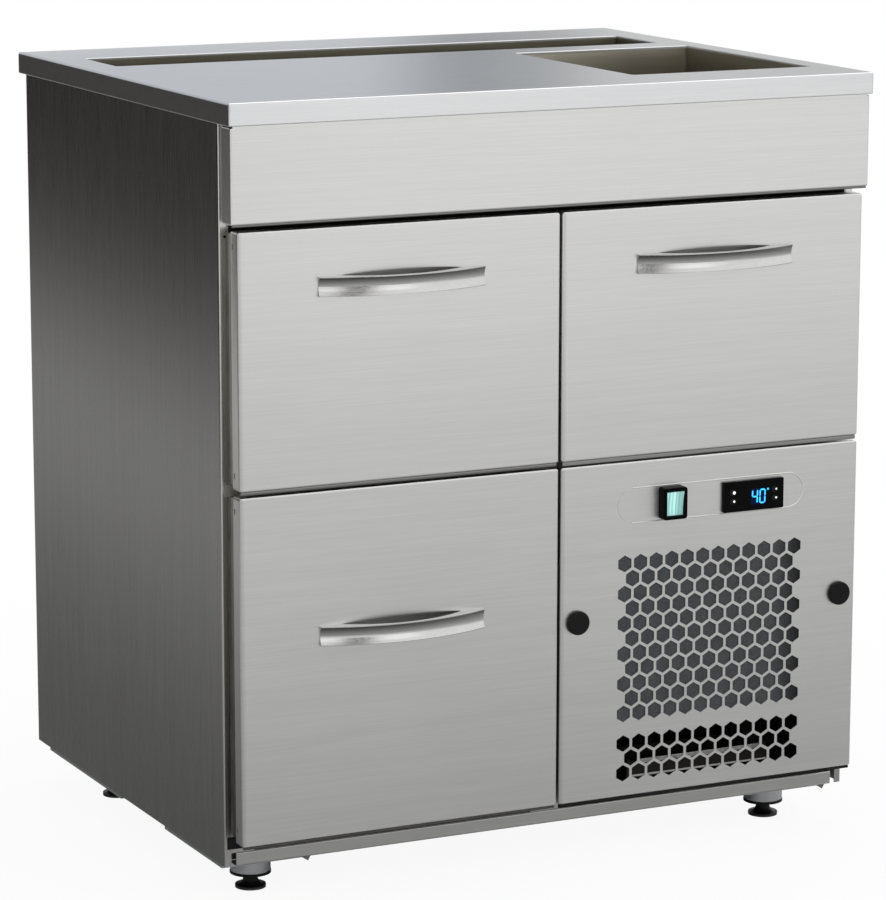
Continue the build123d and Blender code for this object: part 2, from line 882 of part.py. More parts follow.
def bow_handle(side, front_high, handle_drop):
    """A bowed pull with a hollow front face and a finger gap that opens upwards."""
    x = side * front_centre
    high = front_high - handle_drop
    half = handle_width / 2
    sagitta = handle_bow - handle_end
    bow_radius = (half**2 + sagitta**2) / (2 * sagitta)
    bow_centre_y = front_y - handle_bow + bow_radius
    cove_half = handle_height / 2 - handle_lip
    cove_radius = (cove_half**2 + handle_cove_depth**2) / (2 * handle_cove_depth)
    cove_centre_y = front_y - handle_bow + handle_cove_depth - cove_radius
    with BuildPart() as handle:
        with BuildSketch(Plane.XY.offset(high - handle_height)):
            with BuildLine():
                Polyline(
                    (x + half, front_y - handle_end), (x + half, front_y),
                    (x - half, front_y), (x - half, front_y - handle_end),
                )
                ThreePointArc(
                    (x - half, front_y - handle_end), (x, front_y - handle_bow), (x + half, front_y - handle_end)
                )
            make_face()
        extrude(amount=handle_height)
        with BuildSketch(Plane.XY.offset(high)):
            with BuildLine():
                ThreePointArc(
                    (x - handle_gap_half, front_y),
                    (x, front_y - handle_bow + handle_wall),
                    (x + handle_gap_half, front_y),
                )
                Line((x + handle_gap_half, front_y), (x - handle_gap_half, front_y))
            make_face()
        extrude(amount=-(handle_height - handle_floor), mode=Mode.SUBTRACT)
        with BuildSketch(Plane.YZ.offset(x)):
            with Locations((cove_centre_y, high - handle_height / 2)):
                Circle(cove_radius)
        revolve(
            axis=Axis((x, bow_centre_y, 0), (0, 0, 1)), revolution_arc=180, mode=Mode.SUBTRACT
        )
        with BuildSketch(Plane.YZ.offset(x)):
            with Locations((cove_centre_y, high - handle_height / 2)):
                Circle(cove_radius)
        revolve(
            axis=Axis((x, bow_centre_y, 0), (0, 0, -1)), revolution_arc=180, mode=Mode.SUBTRACT
        )
    return handle


for name, (side, low, height, handle_drop, open_low, open_high) in drawers.items():
    save(drawer_front(side, low, height, handle_drop, open_low, open_high), f"{name}_front")
    save(drawer_gasket(side, low, height), f"{name}_gasket")
    save(bow_handle(side, low + height, handle_drop), f"{name}_handle")
    save(drawer_bin(side, open_low, open_high), f"{name}_bin")
    save(middle_runners(side, open_low), f"{name}_middle_runners")

# Machine panel: a folded cover with a hexagon grille, cut-outs for the controls and screw holes
hex_flat = hex_pitch - hex_web
hex_row_pitch = hex_pitch * 3**0.5 / 2
panel_middle_z = (bottom_row_low + bottom_row_high) / 2
control_z = bottom_row_high - control_drop
switch_x = front_centre - control_spacing / 2
thermostat_x = front_centre + control_spacing / 2
thermostat_z = control_z - thermostat_drop
knob_z = bottom_row_high - knob_drop
left_knob_x = front_centre - front_width / 2 + knob_inset
right_knob_x = front_centre + front_width / 2 - knob_inset
first_row_z = bottom_row_high - grille_drop
grille_rows = 1 + int((first_row_z - bottom_row_low - grille_foot) / hex_row_pitch)
with BuildPart() as machine_panel:
    with BuildSketch(Plane.XZ.offset(-body_front_y)):
        with Locations((front_centre, panel_middle_z)):
            Rectangle(front_width, bottom_row_height)
    extrude(amount=body_front_y - front_y)
    fillet(machine_panel.edges().filter_by(Axis.Y), front_corner)
    fillet(machine_panel.faces().sort_by(Axis.Y)[0].edges(), front_bend)
    offset(amount=-panel_sheet, openings=machine_panel.faces().sort_by(Axis.Y)[-1])
    with BuildSketch(front_plane):
        with Locations((front_centre, control_z)):
            SlotOverall(fascia_length, fascia_height)
    extrude(amount=fascia_rise)
    with BuildSketch(front_plane.offset(fascia_rise)):
        for row in range(grille_rows):
            if row == upper_rows:
                continue
            with Locations((front_centre, first_row_z - row * hex_row_pitch)):
                with GridLocations(hex_pitch, 1, grille_columns - row % 2, 1):
                    RegularPolygon(hex_flat / 2, 6, major_radius=False, rotation=30)
        with Locations((thermostat_x, thermostat_z)):
            Rectangle(thermostat_body_width, thermostat_body_height)
        with Locations((switch_x, control_z)):
            Rectangle(switch_body_width, switch_body_height)
        with Locations((left_knob_x, knob_z), (right_knob_x, knob_z)):
            Circle(knob_shank_radius + running_clearance)
    extrude(amount=-(panel_sheet + fascia_rise), mode=Mode.SUBTRACT)
save(machine_panel, "machine_panel")

# Filter mat behind the upper grille
grille_half_width = grille_columns * hex_pitch / 2
filter_high = first_row_z + hex_pitch / 2 + filter_margin
filter_low = first_row_z - (upper_rows - 1) * hex_row_pitch - hex_pitch / 2 - filter_margin
filter_left = front_centre - grille_half_width - filter_margin
filter_right = front_centre + grille_half_width + filter_margin
filter_y = front_y + panel_sheet
filter_depth = (filter_y, filter_y + filter_thickness)
save(slab((filter_left, filter_right), filter_depth, (filter_low, filter_high)), "filter_mat")


def cover_screw(x):
    """A captive screw with a round black head, turned by hand."""
    head_y = front_y - knob_gap
    with BuildPart() as screw:
        with BuildSketch(Plane.XY.offset(knob_z)):
            with BuildLine():
                Polyline(
                    (x, head_y - knob_height),
                    (x + knob_radius, head_y - knob_height),
                    (x + knob_radius, head_y),
                    (x + knob_shank_radius, head_y),
                    (x + knob_shank_radius, body_front_y + knob_shank_end),
                    (x, body_front_y + knob_shank_end),
                    close=True,
                )
            make_face()
        revolve(axis=Axis((x, 0, knob_z), (0, 1, 0)))
        fillet(screw.edges().filter_by(GeomType.CIRCLE).sort_by(Axis.Y)[0], knob_edge)
    return screw


save(cover_screw(left_knob_x), "left_cover_screw")
save(cover_screw(right_knob_x), "right_cover_screw")


def screw_bracket(wall_x, inward, screw_x):
    """An angle on the bay wall with a bored bush that takes a cover screw."""
    face_y = body_front_y + panel_bracket_setback
    reach_x = screw_x + inward * panel_bracket_reach
    low = knob_z - panel_bracket_height / 2
    with BuildPart() as bracket:
        with BuildSketch(Plane.XY.offset(low)):
            with BuildLine():
                Polyline((wall_x, face_y + panel_bracket_leg), (wall_x, face_y), (reach_x, face_y))
                offset(
                    amount=panel_bracket_sheet, side=Side.LEFT if inward > 0 else Side.RIGHT
                )
            make_face()
        extrude(amount=panel_bracket_height)
        with BuildSketch(Plane.XZ.offset(-face_y)):
            with Locations((screw_x, knob_z)):
                Circle(bush_radius)
        extrude(amount=-bush_length)
        with BuildSketch(Plane.XZ.offset(-face_y)):
            with Locations((screw_x, knob_z)):
                Circle(knob_shank_radius + running_clearance)
        extrude(amount=-bush_length, mode=Mode.SUBTRACT)
    return bracket


with BuildPart() as screw_brackets:
    add(screw_bracket(partition_half, 1, left_knob_x).part)
    add(screw_bracket(skin_x, -1, right_knob_x).part)
save(screw_brackets, "screw_brackets")

# Thermostat: a flat case in the control strip, with four keys beside the display
key_places = {
    "upper_left_key": (-key_spread / 2, key_rise / 2),
    "lower_left_key": (-key_spread / 2, -key_rise / 2),
    "upper_right_key": (key_spread / 2, key_rise / 2),
    "lower_right_key": (key_spread / 2, -key_rise / 2),
}
fascia_y = front_y - fascia_rise
fascia_plane = Plane.XZ.offset(-fascia_y)
thermostat_face = fascia_plane.offset(thermostat_proud)
key_floor_plane = thermostat_face.offset(-key_depth)
with BuildPart() as thermostat_case:
    with BuildSketch(fascia_plane):
        with Locations((thermostat_x, thermostat_z)):
            RectangleRounded(thermostat_width, thermostat_height, thermostat_corner)
    extrude(amount=thermostat_proud)
    with BuildSketch(fascia_plane):
        with Locations((thermostat_x, thermostat_z)):
            Rectangle(thermostat_body_width, thermostat_body_height)
    extrude(amount=-thermostat_body_depth)
    with BuildSketch(thermostat_face):
        for x, z in key_places.values():
            with Locations((thermostat_x + x, thermostat_z + z)):
                SlotOverall(key_width + 2 * key_play, key_height + 2 * key_play)
    extrude(amount=-key_depth, mode=Mode.SUBTRACT)
save(thermostat_case, "thermostat_case")


def thermostat_key(x, z):
    with BuildPart() as key:
        with BuildSketch(key_floor_plane.offset(key_proud)):
            with Locations((thermostat_x + x, thermostat_z + z)):
                SlotOverall(key_width, key_height)
        extrude(amount=key_depth)
    return key


for name, place in key_places.items():
    save(thermostat_key(*place), name)

# Switch: a deep black frame, with a lit rocker on a cross pin inside it
rocker_y = fascia_y - switch_proud + rocker_setback + rocker_thickness / 2
with BuildPart() as switch_frame:
    with BuildSketch(fascia_plane):
        with Locations((switch_x, control_z)):
            RectangleRounded(switch_width, switch_height, switch_corner)
    extrude(amount=switch_proud)
    fillet(switch_frame.faces().sort_by(Axis.Y)[0].edges(), switch_corner / 3)
    with BuildSketch(fascia_plane):
        with Locations((switch_x, control_z)):
            Rectangle(switch_body_width, switch_body_height)
    extrude(amount=-switch_body_depth)
    with BuildSketch(fascia_plane.offset(switch_proud)):
        with Locations((switch_x, control_z)):
            Rectangle(rocker_width + 2 * rocker_play, rocker_height + 2 * rocker_play)
    extrude(amount=-switch_well_depth, mode=Mode.SUBTRACT)
    with BuildSketch(Plane.YZ.offset(switch_x - rocker_width / 2 - 2 * rocker_play)):
        with Locations((rocker_y, control_z)):
            Circle(rocker_pin_radius)
    extrude(amount=rocker_width + 4 * rocker_play)
save(switch_frame, "switch_frame")

rocker_depth_dir = Vector(0, 1, 0).rotate(Axis.X, rocker_tilt)
rocker_plane = Plane((switch_x - rocker_width / 2, rocker_y, control_z), x_dir=rocker_depth_dir, z_dir=(1, 0, 0))
with BuildPart() as switch_rocker:
    with BuildSketch(rocker_plane):
        with BuildLine():
            Polyline(
                (-rocker_thickness / 2, rocker_height / 2), (rocker_thickness / 2, rocker_height / 2),
                (rocker_thickness / 2, -rocker_height / 2), (-rocker_thickness / 2, -rocker_height / 2),
            )
            ThreePointArc(
                (-rocker_thickness / 2, -rocker_height / 2), (-rocker_thickness / 2 + rocker_swell, 0),
                (-rocker_thickness / 2, rocker_height / 2),
            )
        make_face()
    extrude(amount=rocker_width)
    with BuildSketch(rocker_plane):
        Circle(rocker_pin_radius + running_clearance)
    extrude(amount=rocker_width, mode=Mode.SUBTRACT)
save(switch_rocker, "switch_rocker")

# Condenser: a finned block between two end plates, with a tube stub for each line
condenser_left = partition_half + condenser_left_gap
condenser_right = liquid_tube_x - condenser_tube_gap
condenser_width = condenser_right - condenser_left
condenser_x = (condenser_left + condenser_right) / 2
condenser_front_y = body_front_y + condenser_setback
condenser_y = condenser_front_y + condenser_depth / 2
condenser_low = base_high + condenser_lift
condenser_high = condenser_low + condenser_height
fin_count = int((condenser_width - 2 * fin_pitch) / fin_pitch)
compressor_x = condenser_x + compressor_shift
compressor_y = back_panel_y - compressor_back_gap
liquid_stub_x = condenser_right + end_plate + 1.5 * tube_radius
with BuildPart() as condenser:
    with BuildSketch(Plane.XY.offset(condenser_low)):
        with Locations((condenser_x, condenser_y)):
            Rectangle(condenser_width, condenser_depth)
            for face in (-1, 1):
                with Locations((0, face * (condenser_depth - fin_slot_depth) / 2)):
                    with GridLocations(fin_pitch, 1, fin_count, 1):
                        Rectangle(fin_slot, fin_slot_depth, mode=Mode.SUBTRACT)
    extrude(amount=condenser_height)
    with BuildSketch(Plane.XY.offset(base_high)):
        for x in (condenser_left - end_plate / 2, condenser_right + end_plate / 2):
            with Locations((x, condenser_y)):
                Rectangle(end_plate, condenser_depth)
    extrude(amount=condenser_high - base_high)
    with BuildSketch(Plane.XY.offset(condenser_high)):
        with Locations((compressor_x + stub_spread, condenser_y)):
            Circle(stub_radius)
    extrude(amount=stub_rise)
    with BuildSketch(Plane.YZ.offset(condenser_right + end_plate)):
        with Locations((condenser_y, condenser_low + 2 * tube_bend)):
            Circle(stub_radius)
    extrude(amount=liquid_stub_x - condenser_right - end_plate)
save(condenser, "condenser")


def fan_rotor(centre, hub, tip, length, shaft):
    """A fan that turns about Y: a hub bored for its shaft, and twisted blades."""
    axis_plane = Plane(origin=centre, x_dir=(1, 0, 0), z_dir=(0, -1, 0))
    with BuildPart() as blade:
        with BuildSketch(Plane(origin=(hub * 0.9, 0, 0), x_dir=(0, 0, 1), z_dir=(1, 0, 0))):
            Rectangle(length * 0.8, blade_sheet, rotation=-35)
        with BuildSketch(Plane(origin=(tip, 0, 0), x_dir=(0, 0, 1), z_dir=(1, 0, 0))):
            Rectangle(tip * 0.75, blade_sheet, rotation=-70)
        loft()
        with BuildSketch():
            Circle(tip)
        extrude(amount=length / 2, both=True, mode=Mode.INTERSECT)
    with BuildPart() as rotor:
        with BuildSketch(axis_plane):
            Circle(hub)
        extrude(amount=length / 2, both=True)
        with BuildSketch(axis_plane.offset(-length / 2)):
            Circle(shaft + running_clearance)
        extrude(amount=length * 0.7, mode=Mode.SUBTRACT)
        for step in range(blade_count):
            turn = Rotation(0, 0, 360 / blade_count * step)
            add(axis_plane.location * turn * blade.part)
    return rotor


def fan_mount(plate, centre, tip, ring_start_y, ring_length, motor, motor_y, motor_size, shaft_length):
    """Add the fan ring, the motor and its three arms to a plate that stands across the air stream."""
    ring_inner = tip + fan_ring_gap
    ring_outer = ring_inner + fan_ring_sheet
    with BuildPart() as mount:
        add(plate)
        with BuildSketch(Plane.XZ.offset(-ring_start_y)):
            with Locations((centre[0], centre[1])):
                Circle(ring_outer)
        extrude(amount=-ring_length)
        with BuildSketch(Plane.XZ.offset(-ring_start_y)):
            with Locations((centre[0], centre[1])):
                Circle(ring_inner)
        extrude(amount=ring_length, both=True, mode=Mode.SUBTRACT)
        with BuildSketch(Plane.XZ.offset(-motor_y)):
            with Locations((centre[0], centre[1])):
                Circle(motor)
        extrude(amount=-motor_size)
        with BuildSketch(Plane.XZ.offset(-(ring_start_y + ring_length - motor_arm_thickness))):
            with Locations((centre[0], centre[1])):
                with PolarLocations((motor + ring_inner) / 2, 3, start_angle=90):
                    Rectangle(ring_outer - motor, motor_arm_width)
        extrude(amount=-motor_arm_thickness)
        with BuildSketch(Plane.XZ.offset(-motor_y)):
            with Locations((centre[0], centre[1])):
                Circle(fan_shaft_radius)
        extrude(amount=shaft_length)
    return mount


# Condenser fan: a shroud with its motor behind the condenser, and the rotor that turns in it
shroud_y = condenser_front_y + condenser_depth
fan_place = (condenser_x, (condenser_low + condenser_high) / 2)
condenser_motor_y = shroud_y + condenser_ring_length - 2 * motor_arm_thickness
rotor_y = condenser_motor_y - 2 * motor_arm_thickness - hub_length / 2
shroud_sheet_plate = slab(
    (condenser_left, condenser_right), (shroud_y, shroud_y + shroud_sheet), (condenser_low, condenser_high)
)
fan_shroud = fan_mount(
    shroud_sheet_plate.part, fan_place, condenser_fan_radius, shroud_y, condenser_ring_length,
    motor_radius, condenser_motor_y, motor_length, condenser_motor_y - rotor_y,
)
save(fan_shroud, "fan_shroud")
rotor_centre = (fan_place[0], rotor_y, fan_place[1])
save(fan_rotor(rotor_centre, hub_radius, condenser_fan_radius, hub_length, fan_shaft_radius), "condenser_fan")

# Compressor: a welded dome on a foot plate with rubber feet, a terminal box and two tube stubs
compressor_low = base_high + compressor_lift
compressor_high = compressor_low + compressor_height
stub_high = compressor_high + stub_rise
with BuildPart() as compressor:
    with BuildSketch(Plane.XY.offset(compressor_low)):
        with Locations((compressor_x, compressor_y)):
            Circle(compressor_radius)
    extrude(amount=compressor_height)
    fillet(compressor.faces().sort_by(Axis.Z)[-1].edges(), compressor_dome)
    fillet(compressor.faces().sort_by(Axis.Z)[0].edges(), compressor_foot_round)
    with BuildSketch(Plane.XY.offset(compressor_low + compressor_seam)):
        with Locations((compressor_x, compressor_y)):
            Circle(compressor_radius + compressor_seam_width)
    extrude(amount=compressor_plate)
    with BuildSketch(Plane.XY.offset(compressor_low)):
        with Locations((compressor_x, compressor_y)):
            RectangleRounded(compressor_foot_width, compressor_foot_depth, grommet_radius)
    extrude(amount=compressor_plate)
    with BuildSketch(Plane.XY.offset(base_high)):
        with Locations((compressor_x, compressor_y)):
            with GridLocations(
                compressor_foot_width - 2.5 * grommet_radius, compressor_foot_depth - 2.5 * grommet_radius, 2, 2
            ):
                Circle(grommet_radius)
    extrude(amount=compressor_lift)
    with BuildSketch(Plane.XY.offset(compressor_low + compressor_plate)):
        with Locations((compressor_x, compressor_y - compressor_radius)):
            Rectangle(terminal_width, 2 * terminal_depth)
    extrude(amount=terminal_height)
    with BuildSketch(Plane.XY.offset(compressor_high - compressor_radius)):
        with Locations((compressor_x, compressor_y)):
            with GridLocations(2 * stub_spread, 1, 2, 1):
                Circle(stub_radius)
    extrude(amount=stub_high - compressor_high + compressor_radius)
save(compressor, "compressor")

# Condensate tray behind the lower grille: a folded tray on two skids, with a rim turned to the front
tray_x = condenser_x + tray_shift
tray_low = base_high + tray_lift
tray_front_y = body_front_y + tray_setback
tray_y = tray_front_y + tray_depth / 2
with BuildPart() as condensate_tray:
    with BuildSketch(Plane.XY.offset(tray_low)):
        with Locations((tray_x, tray_y)):
            Rectangle(tray_width, tray_depth)
    extrude(amount=tray_high - tray_low)
    fillet(condensate_tray.edges().filter_by(Axis.Z), sheet_bend)
    offset(amount=-tray_sheet, openings=condensate_tray.faces().sort_by(Axis.Z)[-1])
    with BuildSketch(Plane.XY.offset(tray_high - tray_sheet)):
        with Locations((tray_x, tray_front_y + (tray_sheet - tray_rim) / 2)):
            Rectangle(tray_width - 2 * sheet_bend, tray_rim + tray_sheet)
    extrude(amount=tray_sheet)
    with BuildSketch(Plane.XY.offset(base_high)):
        with Locations((tray_x, tray_y)):
            with GridLocations(tray_width - 4 * tray_skid, 1, 2, 1):
                Rectangle(tray_skid, tray_depth - 2 * tray_skid)
    extrude(amount=tray_lift)
save(condensate_tray, "condensate_tray")

# Evaporator coil, hung at the back of the upper right compartment
evaporator_left = partition_half + evaporator_left_gap
evaporator_width = evaporator_right - evaporator_left
evaporator_x = (evaporator_left + evaporator_right) / 2
evaporator_high = evaporator_low + evaporator_height
evaporator_fin_count = int((evaporator_width - 2 * fin_pitch) / fin_pitch)
evaporator_plate_depth = evaporator_depth + evaporator_back_gap
with BuildPart() as evaporator_coil:
    with BuildSketch(Plane.XY.offset(evaporator_low)):
        with Locations((evaporator_x, evaporator_y)):
            Rectangle(evaporator_width, evaporator_depth)
            for face in (-1, 1):
                with Locations((0, face * (evaporator_depth - fin_slot_depth) / 2)):
                    with GridLocations(fin_pitch, 1, evaporator_fin_count, 1):
                        Rectangle(fin_slot, fin_slot_depth, mode=Mode.SUBTRACT)
    extrude(amount=evaporator_height)
    with BuildSketch(Plane.XY.offset(evaporator_low)):
        for x in (evaporator_left - end_plate / 2, evaporator_right + end_plate / 2):
            with Locations((x, liner_back_y - evaporator_plate_depth / 2)):
                Rectangle(end_plate, evaporator_plate_depth)
    extrude(amount=evaporator_height)
save(evaporator_coil, "evaporator_coil")

# Evaporator cover: a hood on the ceiling, open at the back and below, with the fan in its front
cover_left = partition_half + cover_left_gap
cover_right = liner_x - cover_right_gap
with BuildPart() as cover_hood:
    with BuildSketch(Plane.XY.offset(ceiling_low - cover_height)):
        with Locations(((cover_left + cover_right) / 2, (cover_front_y + liner_back_y) / 2)):
            Rectangle(cover_right - cover_left, cover_depth)
    extrude(amount=cover_height)
    hood_openings = [cover_hood.faces().sort_by(Axis.Y)[-1], cover_hood.faces().sort_by(Axis.Z)[0]]
    offset(amount=-cover_sheet, openings=hood_openings)
cold_fan_place = (evaporator_x, (evaporator_low + evaporator_high) / 2)
cold_motor_y = cover_front_y + evaporator_ring_length - evaporator_motor_length
cold_rotor_y = cold_motor_y - runner_play - evaporator_hub_length / 2
evaporator_cover = fan_mount(
    cover_hood.part, cold_fan_place, evaporator_fan_radius, cover_front_y, evaporator_ring_length,
    evaporator_motor_radius, cold_motor_y, evaporator_motor_length, cold_motor_y - cold_rotor_y,
)
save(evaporator_cover, "evaporator_cover")
cold_rotor_centre = (cold_fan_place[0], cold_rotor_y, cold_fan_place[1])
cold_rotor = fan_rotor(
    cold_rotor_centre, evaporator_hub_radius, evaporator_fan_radius, evaporator_hub_length, fan_shaft_radius
)
save(cold_rotor, "evaporator_fan")

# Refrigerant tubes: hot gas to the condenser, liquid up to the evaporator, suction back down
condenser_top_z = condenser_high + stub_rise
compressor_out_x = compressor_x + stub_spread
compressor_in_x = compressor_x - stub_spread
liquid_z = condenser_low + 2 * tube_bend
liquid_entry_z = evaporator_low + 2 * tube_bend
suction_exit_z = evaporator_high - 2 * tube_bend
suction_turn_z = stub_high + 2 * tube_bend
hot_turn_z = condenser_top_z + 1.2 * tube_bend
tube_routes = [
    (
        [
            (compressor_out_x, compressor_y, stub_high),
            (compressor_out_x, compressor_y, hot_turn_z),
            (compressor_out_x, condenser_y, hot_turn_z),
            (compressor_out_x, condenser_y, condenser_top_z),
        ],
        tube_bend,
    ),
    (
        [
            (liquid_stub_x, condenser_y, liquid_z),
            (liquid_tube_x, condenser_y, liquid_z),
            (liquid_tube_x, liquid_tube_y, liquid_z),
            (liquid_tube_x, liquid_tube_y, liquid_entry_z),
            (evaporator_right + end_plate, liquid_tube_y, liquid_entry_z),
        ],
        tube_small_bend,
    ),
    (
        [
            (evaporator_right + end_plate, suction_tube_y, suction_exit_z),
            (suction_tube_x, suction_tube_y, suction_exit_z),
            (suction_tube_x, suction_tube_y, suction_turn_z),
            (compressor_in_x, suction_tube_y, suction_turn_z),
            (compressor_in_x, compressor_y, suction_turn_z),
            (compressor_in_x, compressor_y, stub_high),
        ],
        tube_bend,
    ),
]


def tube(points, bend):
    with BuildPart() as piece:
        with BuildLine() as route:
            FilletPolyline(*points, radius=bend)
        with BuildSketch(Plane(origin=route.line @ 0, z_dir=route.line % 0)):
            Circle(tube_radius)
        sweep(path=route.line)
    return piece


with BuildPart() as refrigerant_tubes:
    for points, bend in tube_routes:
        add(tube(points, bend).part)
save(refrigerant_tubes, "refrigerant_tubes")
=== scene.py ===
import json
import math

import bmesh
import bpy
from mathutils import Matrix, Vector


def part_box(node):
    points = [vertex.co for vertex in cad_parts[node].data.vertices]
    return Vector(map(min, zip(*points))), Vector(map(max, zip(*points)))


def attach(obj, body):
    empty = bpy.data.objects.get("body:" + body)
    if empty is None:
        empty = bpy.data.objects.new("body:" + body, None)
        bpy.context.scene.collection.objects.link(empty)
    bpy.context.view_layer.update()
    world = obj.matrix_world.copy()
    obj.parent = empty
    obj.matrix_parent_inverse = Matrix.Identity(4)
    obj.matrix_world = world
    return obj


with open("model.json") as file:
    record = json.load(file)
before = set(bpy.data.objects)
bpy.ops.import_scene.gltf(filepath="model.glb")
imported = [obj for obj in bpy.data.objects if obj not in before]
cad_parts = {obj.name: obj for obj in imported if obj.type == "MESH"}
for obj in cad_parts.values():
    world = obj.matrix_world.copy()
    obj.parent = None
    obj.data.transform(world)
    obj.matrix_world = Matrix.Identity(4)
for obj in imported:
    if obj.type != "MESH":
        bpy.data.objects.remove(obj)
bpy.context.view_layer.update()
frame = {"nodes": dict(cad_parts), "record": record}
nodes = frame["nodes"]

# The camera of the photograph: place and reach in metres, turn in degrees, lens and sensor in millimetres
CAMERA_PLACE = (-1.99853, -4.11981, 1.33505)
CAMERA_TURN = (78.919, -0.064, -25.926)
CAMERA_LENS = 156.55
CAMERA_SENSOR = 36
CAMERA_REACH = 60

# Colours, as linear light
STEEL = (0.70, 0.70, 0.69)
# Stainless of the side panels, darkened as painted shade
SHADED_SIDE_STEEL = (0.302, 0.300, 0.289)
STEEL_TOP = (0.70, 0.705, 0.71)
EDGE_STEEL = (0.80, 0.80, 0.78)
RAIL_STEEL = (0.50, 0.50, 0.485)
# Steel of the well and the rear channel, darker and warmer as painted shade in these recesses
SHADED_BASIN_STEEL = (0.43, 0.405, 0.345)
SHADED_CHANNEL_STEEL = (0.34, 0.315, 0.25)
ZINC = (0.42, 0.43, 0.44)
ALUMINIUM = (0.67, 0.67, 0.655)
BLACK_PLASTIC = (0.005, 0.005, 0.0055)
DEEP_BLACK = (0.003, 0.003, 0.0033)
RUBBER = (0.012, 0.012, 0.012)
GASKET = (0.20, 0.195, 0.17)
LINER = (0.46, 0.46, 0.45)
# The condensate tray's steel, nearly black as painted shade behind the grille
SHADED_TRAY = (0.055, 0.053, 0.047)
FLEECE_DARK = (0.030, 0.032, 0.035)
FLEECE_LIGHT = (0.076, 0.079, 0.086)
PATCH_DARK = (0.7, 0.7, 0.72)
MINT = (0.25, 0.50, 0.465)
DIGIT_BLUE = (0.04, 0.42, 0.88)
GLOW_BLUE = (0.0004, 0.0035, 0.022)
COPPER = (0.62, 0.30, 0.17)
ICON_WHITE = (0.85, 0.86, 0.88)
WHITE = (1, 1, 1)

# Directions that a surface can face, and the reach of its normal where it faces one nearly square on
LEFT = (-1, 0, 0)
FRONT = (0, -1, 0)
UP = (0, 0, 1)
FRONT_LEFT = (-0.7071, -0.7071, 0)
UNDER_HANDLE = (-0.15, 0, -1)
SQUARE_ON = (0.80, 0.96)

# Ways that a grain runs, as the axis that it follows
SIDEWAYS = 0
UPRIGHT = 2

# Brushed sheet: features a metre along and across its grain, its clouds, its relief in metres and its shine
STREAK_SCALES = (11, 900)
BAND_SCALES = (1.6, 130)
CLOUD_SCALE = 2.6
CLOUD_TONE = 0.97
GRAIN_DEPTH = 0.00002
GRAIN_STRENGTH = 0.25
GRAIN_SHINE = 0.55

# A grain is never exactly square to a face, which would leave its shine without a direction
GRAIN_SKEW = 0.04

# How far the roughness of each kind of surface falls and rises
BRUSHED_PLAY = (0.03, 0.04)
METAL_PLAY = (0.06, 0.08)
MOULDED_PLAY = (0.08, 0.08)

# Metal without a grain, plastic and rubber: the mottle's tones and scale, and the strength of the relief
FLECK_TONE = 0.88
MOTTLE_SCALE = 24
MOTTLE_TONES = (0.8, 1.15)
MOULDED_STRENGTH = 0.6

# Fleece: features a metre, the depth of its fibres, and its painted shadow in metres from where the grille
# ends
FIBRE_SCALE = 420
FIBRE_DEPTH = 0.0012
PATCH_SCALE = 45
FLEECE_ROUGHNESS = 0.95
FLEECE_HIDDEN = 0.011
FLEECE_SHADE = 0.034
FLEECE_SHADE_TONE = 0.06

# Lit plastic: painted reflections as streaks, in features a metre, and their tones
GLINT_SCALES = (300, 1.5, 1.5)
GLINT_DARK = 0.62
GLINT_BRIGHT = 1.25
GLINT_LIFT = 0.06
LIT_ROUGHNESS = 0.18

# Lit and printed marks
MARK_SCALE = 500
MARK_TONE = 0.8
MARK_GLOSS = 0.05
MARK_ROUGHNESS = 0.4

# Reach in metres, and tone, of the painted light and shade on single pieces
BEND_SHADE = 0.006
BEND_TONE = 0.74
RAIL_SHADE = (0.0065, 0.0095)
RAIL_TONE = 0.40
WELL_SHADE = 0.055
WELL_TONES = (0.70, 1.20)
WELL_LIGHT = (0.02, 0.16)
WELL_LIGHT_TONES = (1.55, 0.93)
# Painted light along the feet's lower rim
FOOT_LIT_RIM = (0.0012, 0.0035)
FOOT_LIT_RIM_TONE = 14
GASKET_REACH = (0.10, 0.65)
GASKET_TONES = (0.25, 1.65)


# Materials

def start_material(name):
    """A new node material, with its tree and its shader."""
    material = bpy.data.materials.new(name)
    material.use_nodes = True
    return material, material.node_tree, material.node_tree.nodes["Principled BSDF"]


def grey(level):
    """A grey, as a colour."""
    return (level, level, level)


def shade(colour, factor):
    """A colour made darker or lighter."""
    return tuple(channel * factor for channel in colour)


def noise(tree, stretch, detail=3.0, roughness=0.55):
    """Noise on Object coordinates: stretch is the number of features a metre along each axis."""
    coordinates = tree.nodes.new("ShaderNodeTexCoord")
    mapping = tree.nodes.new("ShaderNodeMapping")
    texture = tree.nodes.new("ShaderNodeTexNoise")
    mapping.inputs["Scale"].default_value = stretch
    texture.inputs["Scale"].default_value = 1.0
    texture.inputs["Detail"].default_value = detail
    texture.inputs["Roughness"].default_value = roughness
    tree.links.new(coordinates.outputs["Object"], mapping.inputs["Vector"])
    tree.links.new(mapping.outputs["Vector"], texture.inputs["Vector"])
    return texture.outputs["Fac"]


def even_noise(tree, scale, detail=3.0, roughness=0.55):
    """Noise with the same number of features a metre each way."""
    return noise(tree, (scale, scale, scale), detail, roughness)


def grain_stretch(axis, lengthwise, across):
    """One number along the axis of a grain, and another along the other two."""
    return tuple(lengthwise if index == axis else across for index in range(3))


def position(tree, axis):
    """The Object coordinate along an axis, in metres."""
    coordinates = tree.nodes.new("ShaderNodeTexCoord")
    split = tree.nodes.new("ShaderNodeSeparateXYZ")
    tree.links.new(coordinates.outputs["Object"], split.inputs["Vector"])
    return split.outputs[axis]


def spread(tree, value, low, high, start=0.3, end=0.7):
    """Carry a value from start to end onto the numbers from low to high."""
    node = tree.nodes.new("ShaderNodeMapRange")
    node.inputs["From Min"].default_value = start
    node.inputs["From Max"].default_value = end
    node.inputs["To Min"].default_value = low
    node.inputs["To Max"].default_value = high
    tree.links.new(value, node.inputs["Value"])
    return node.outputs["Result"]


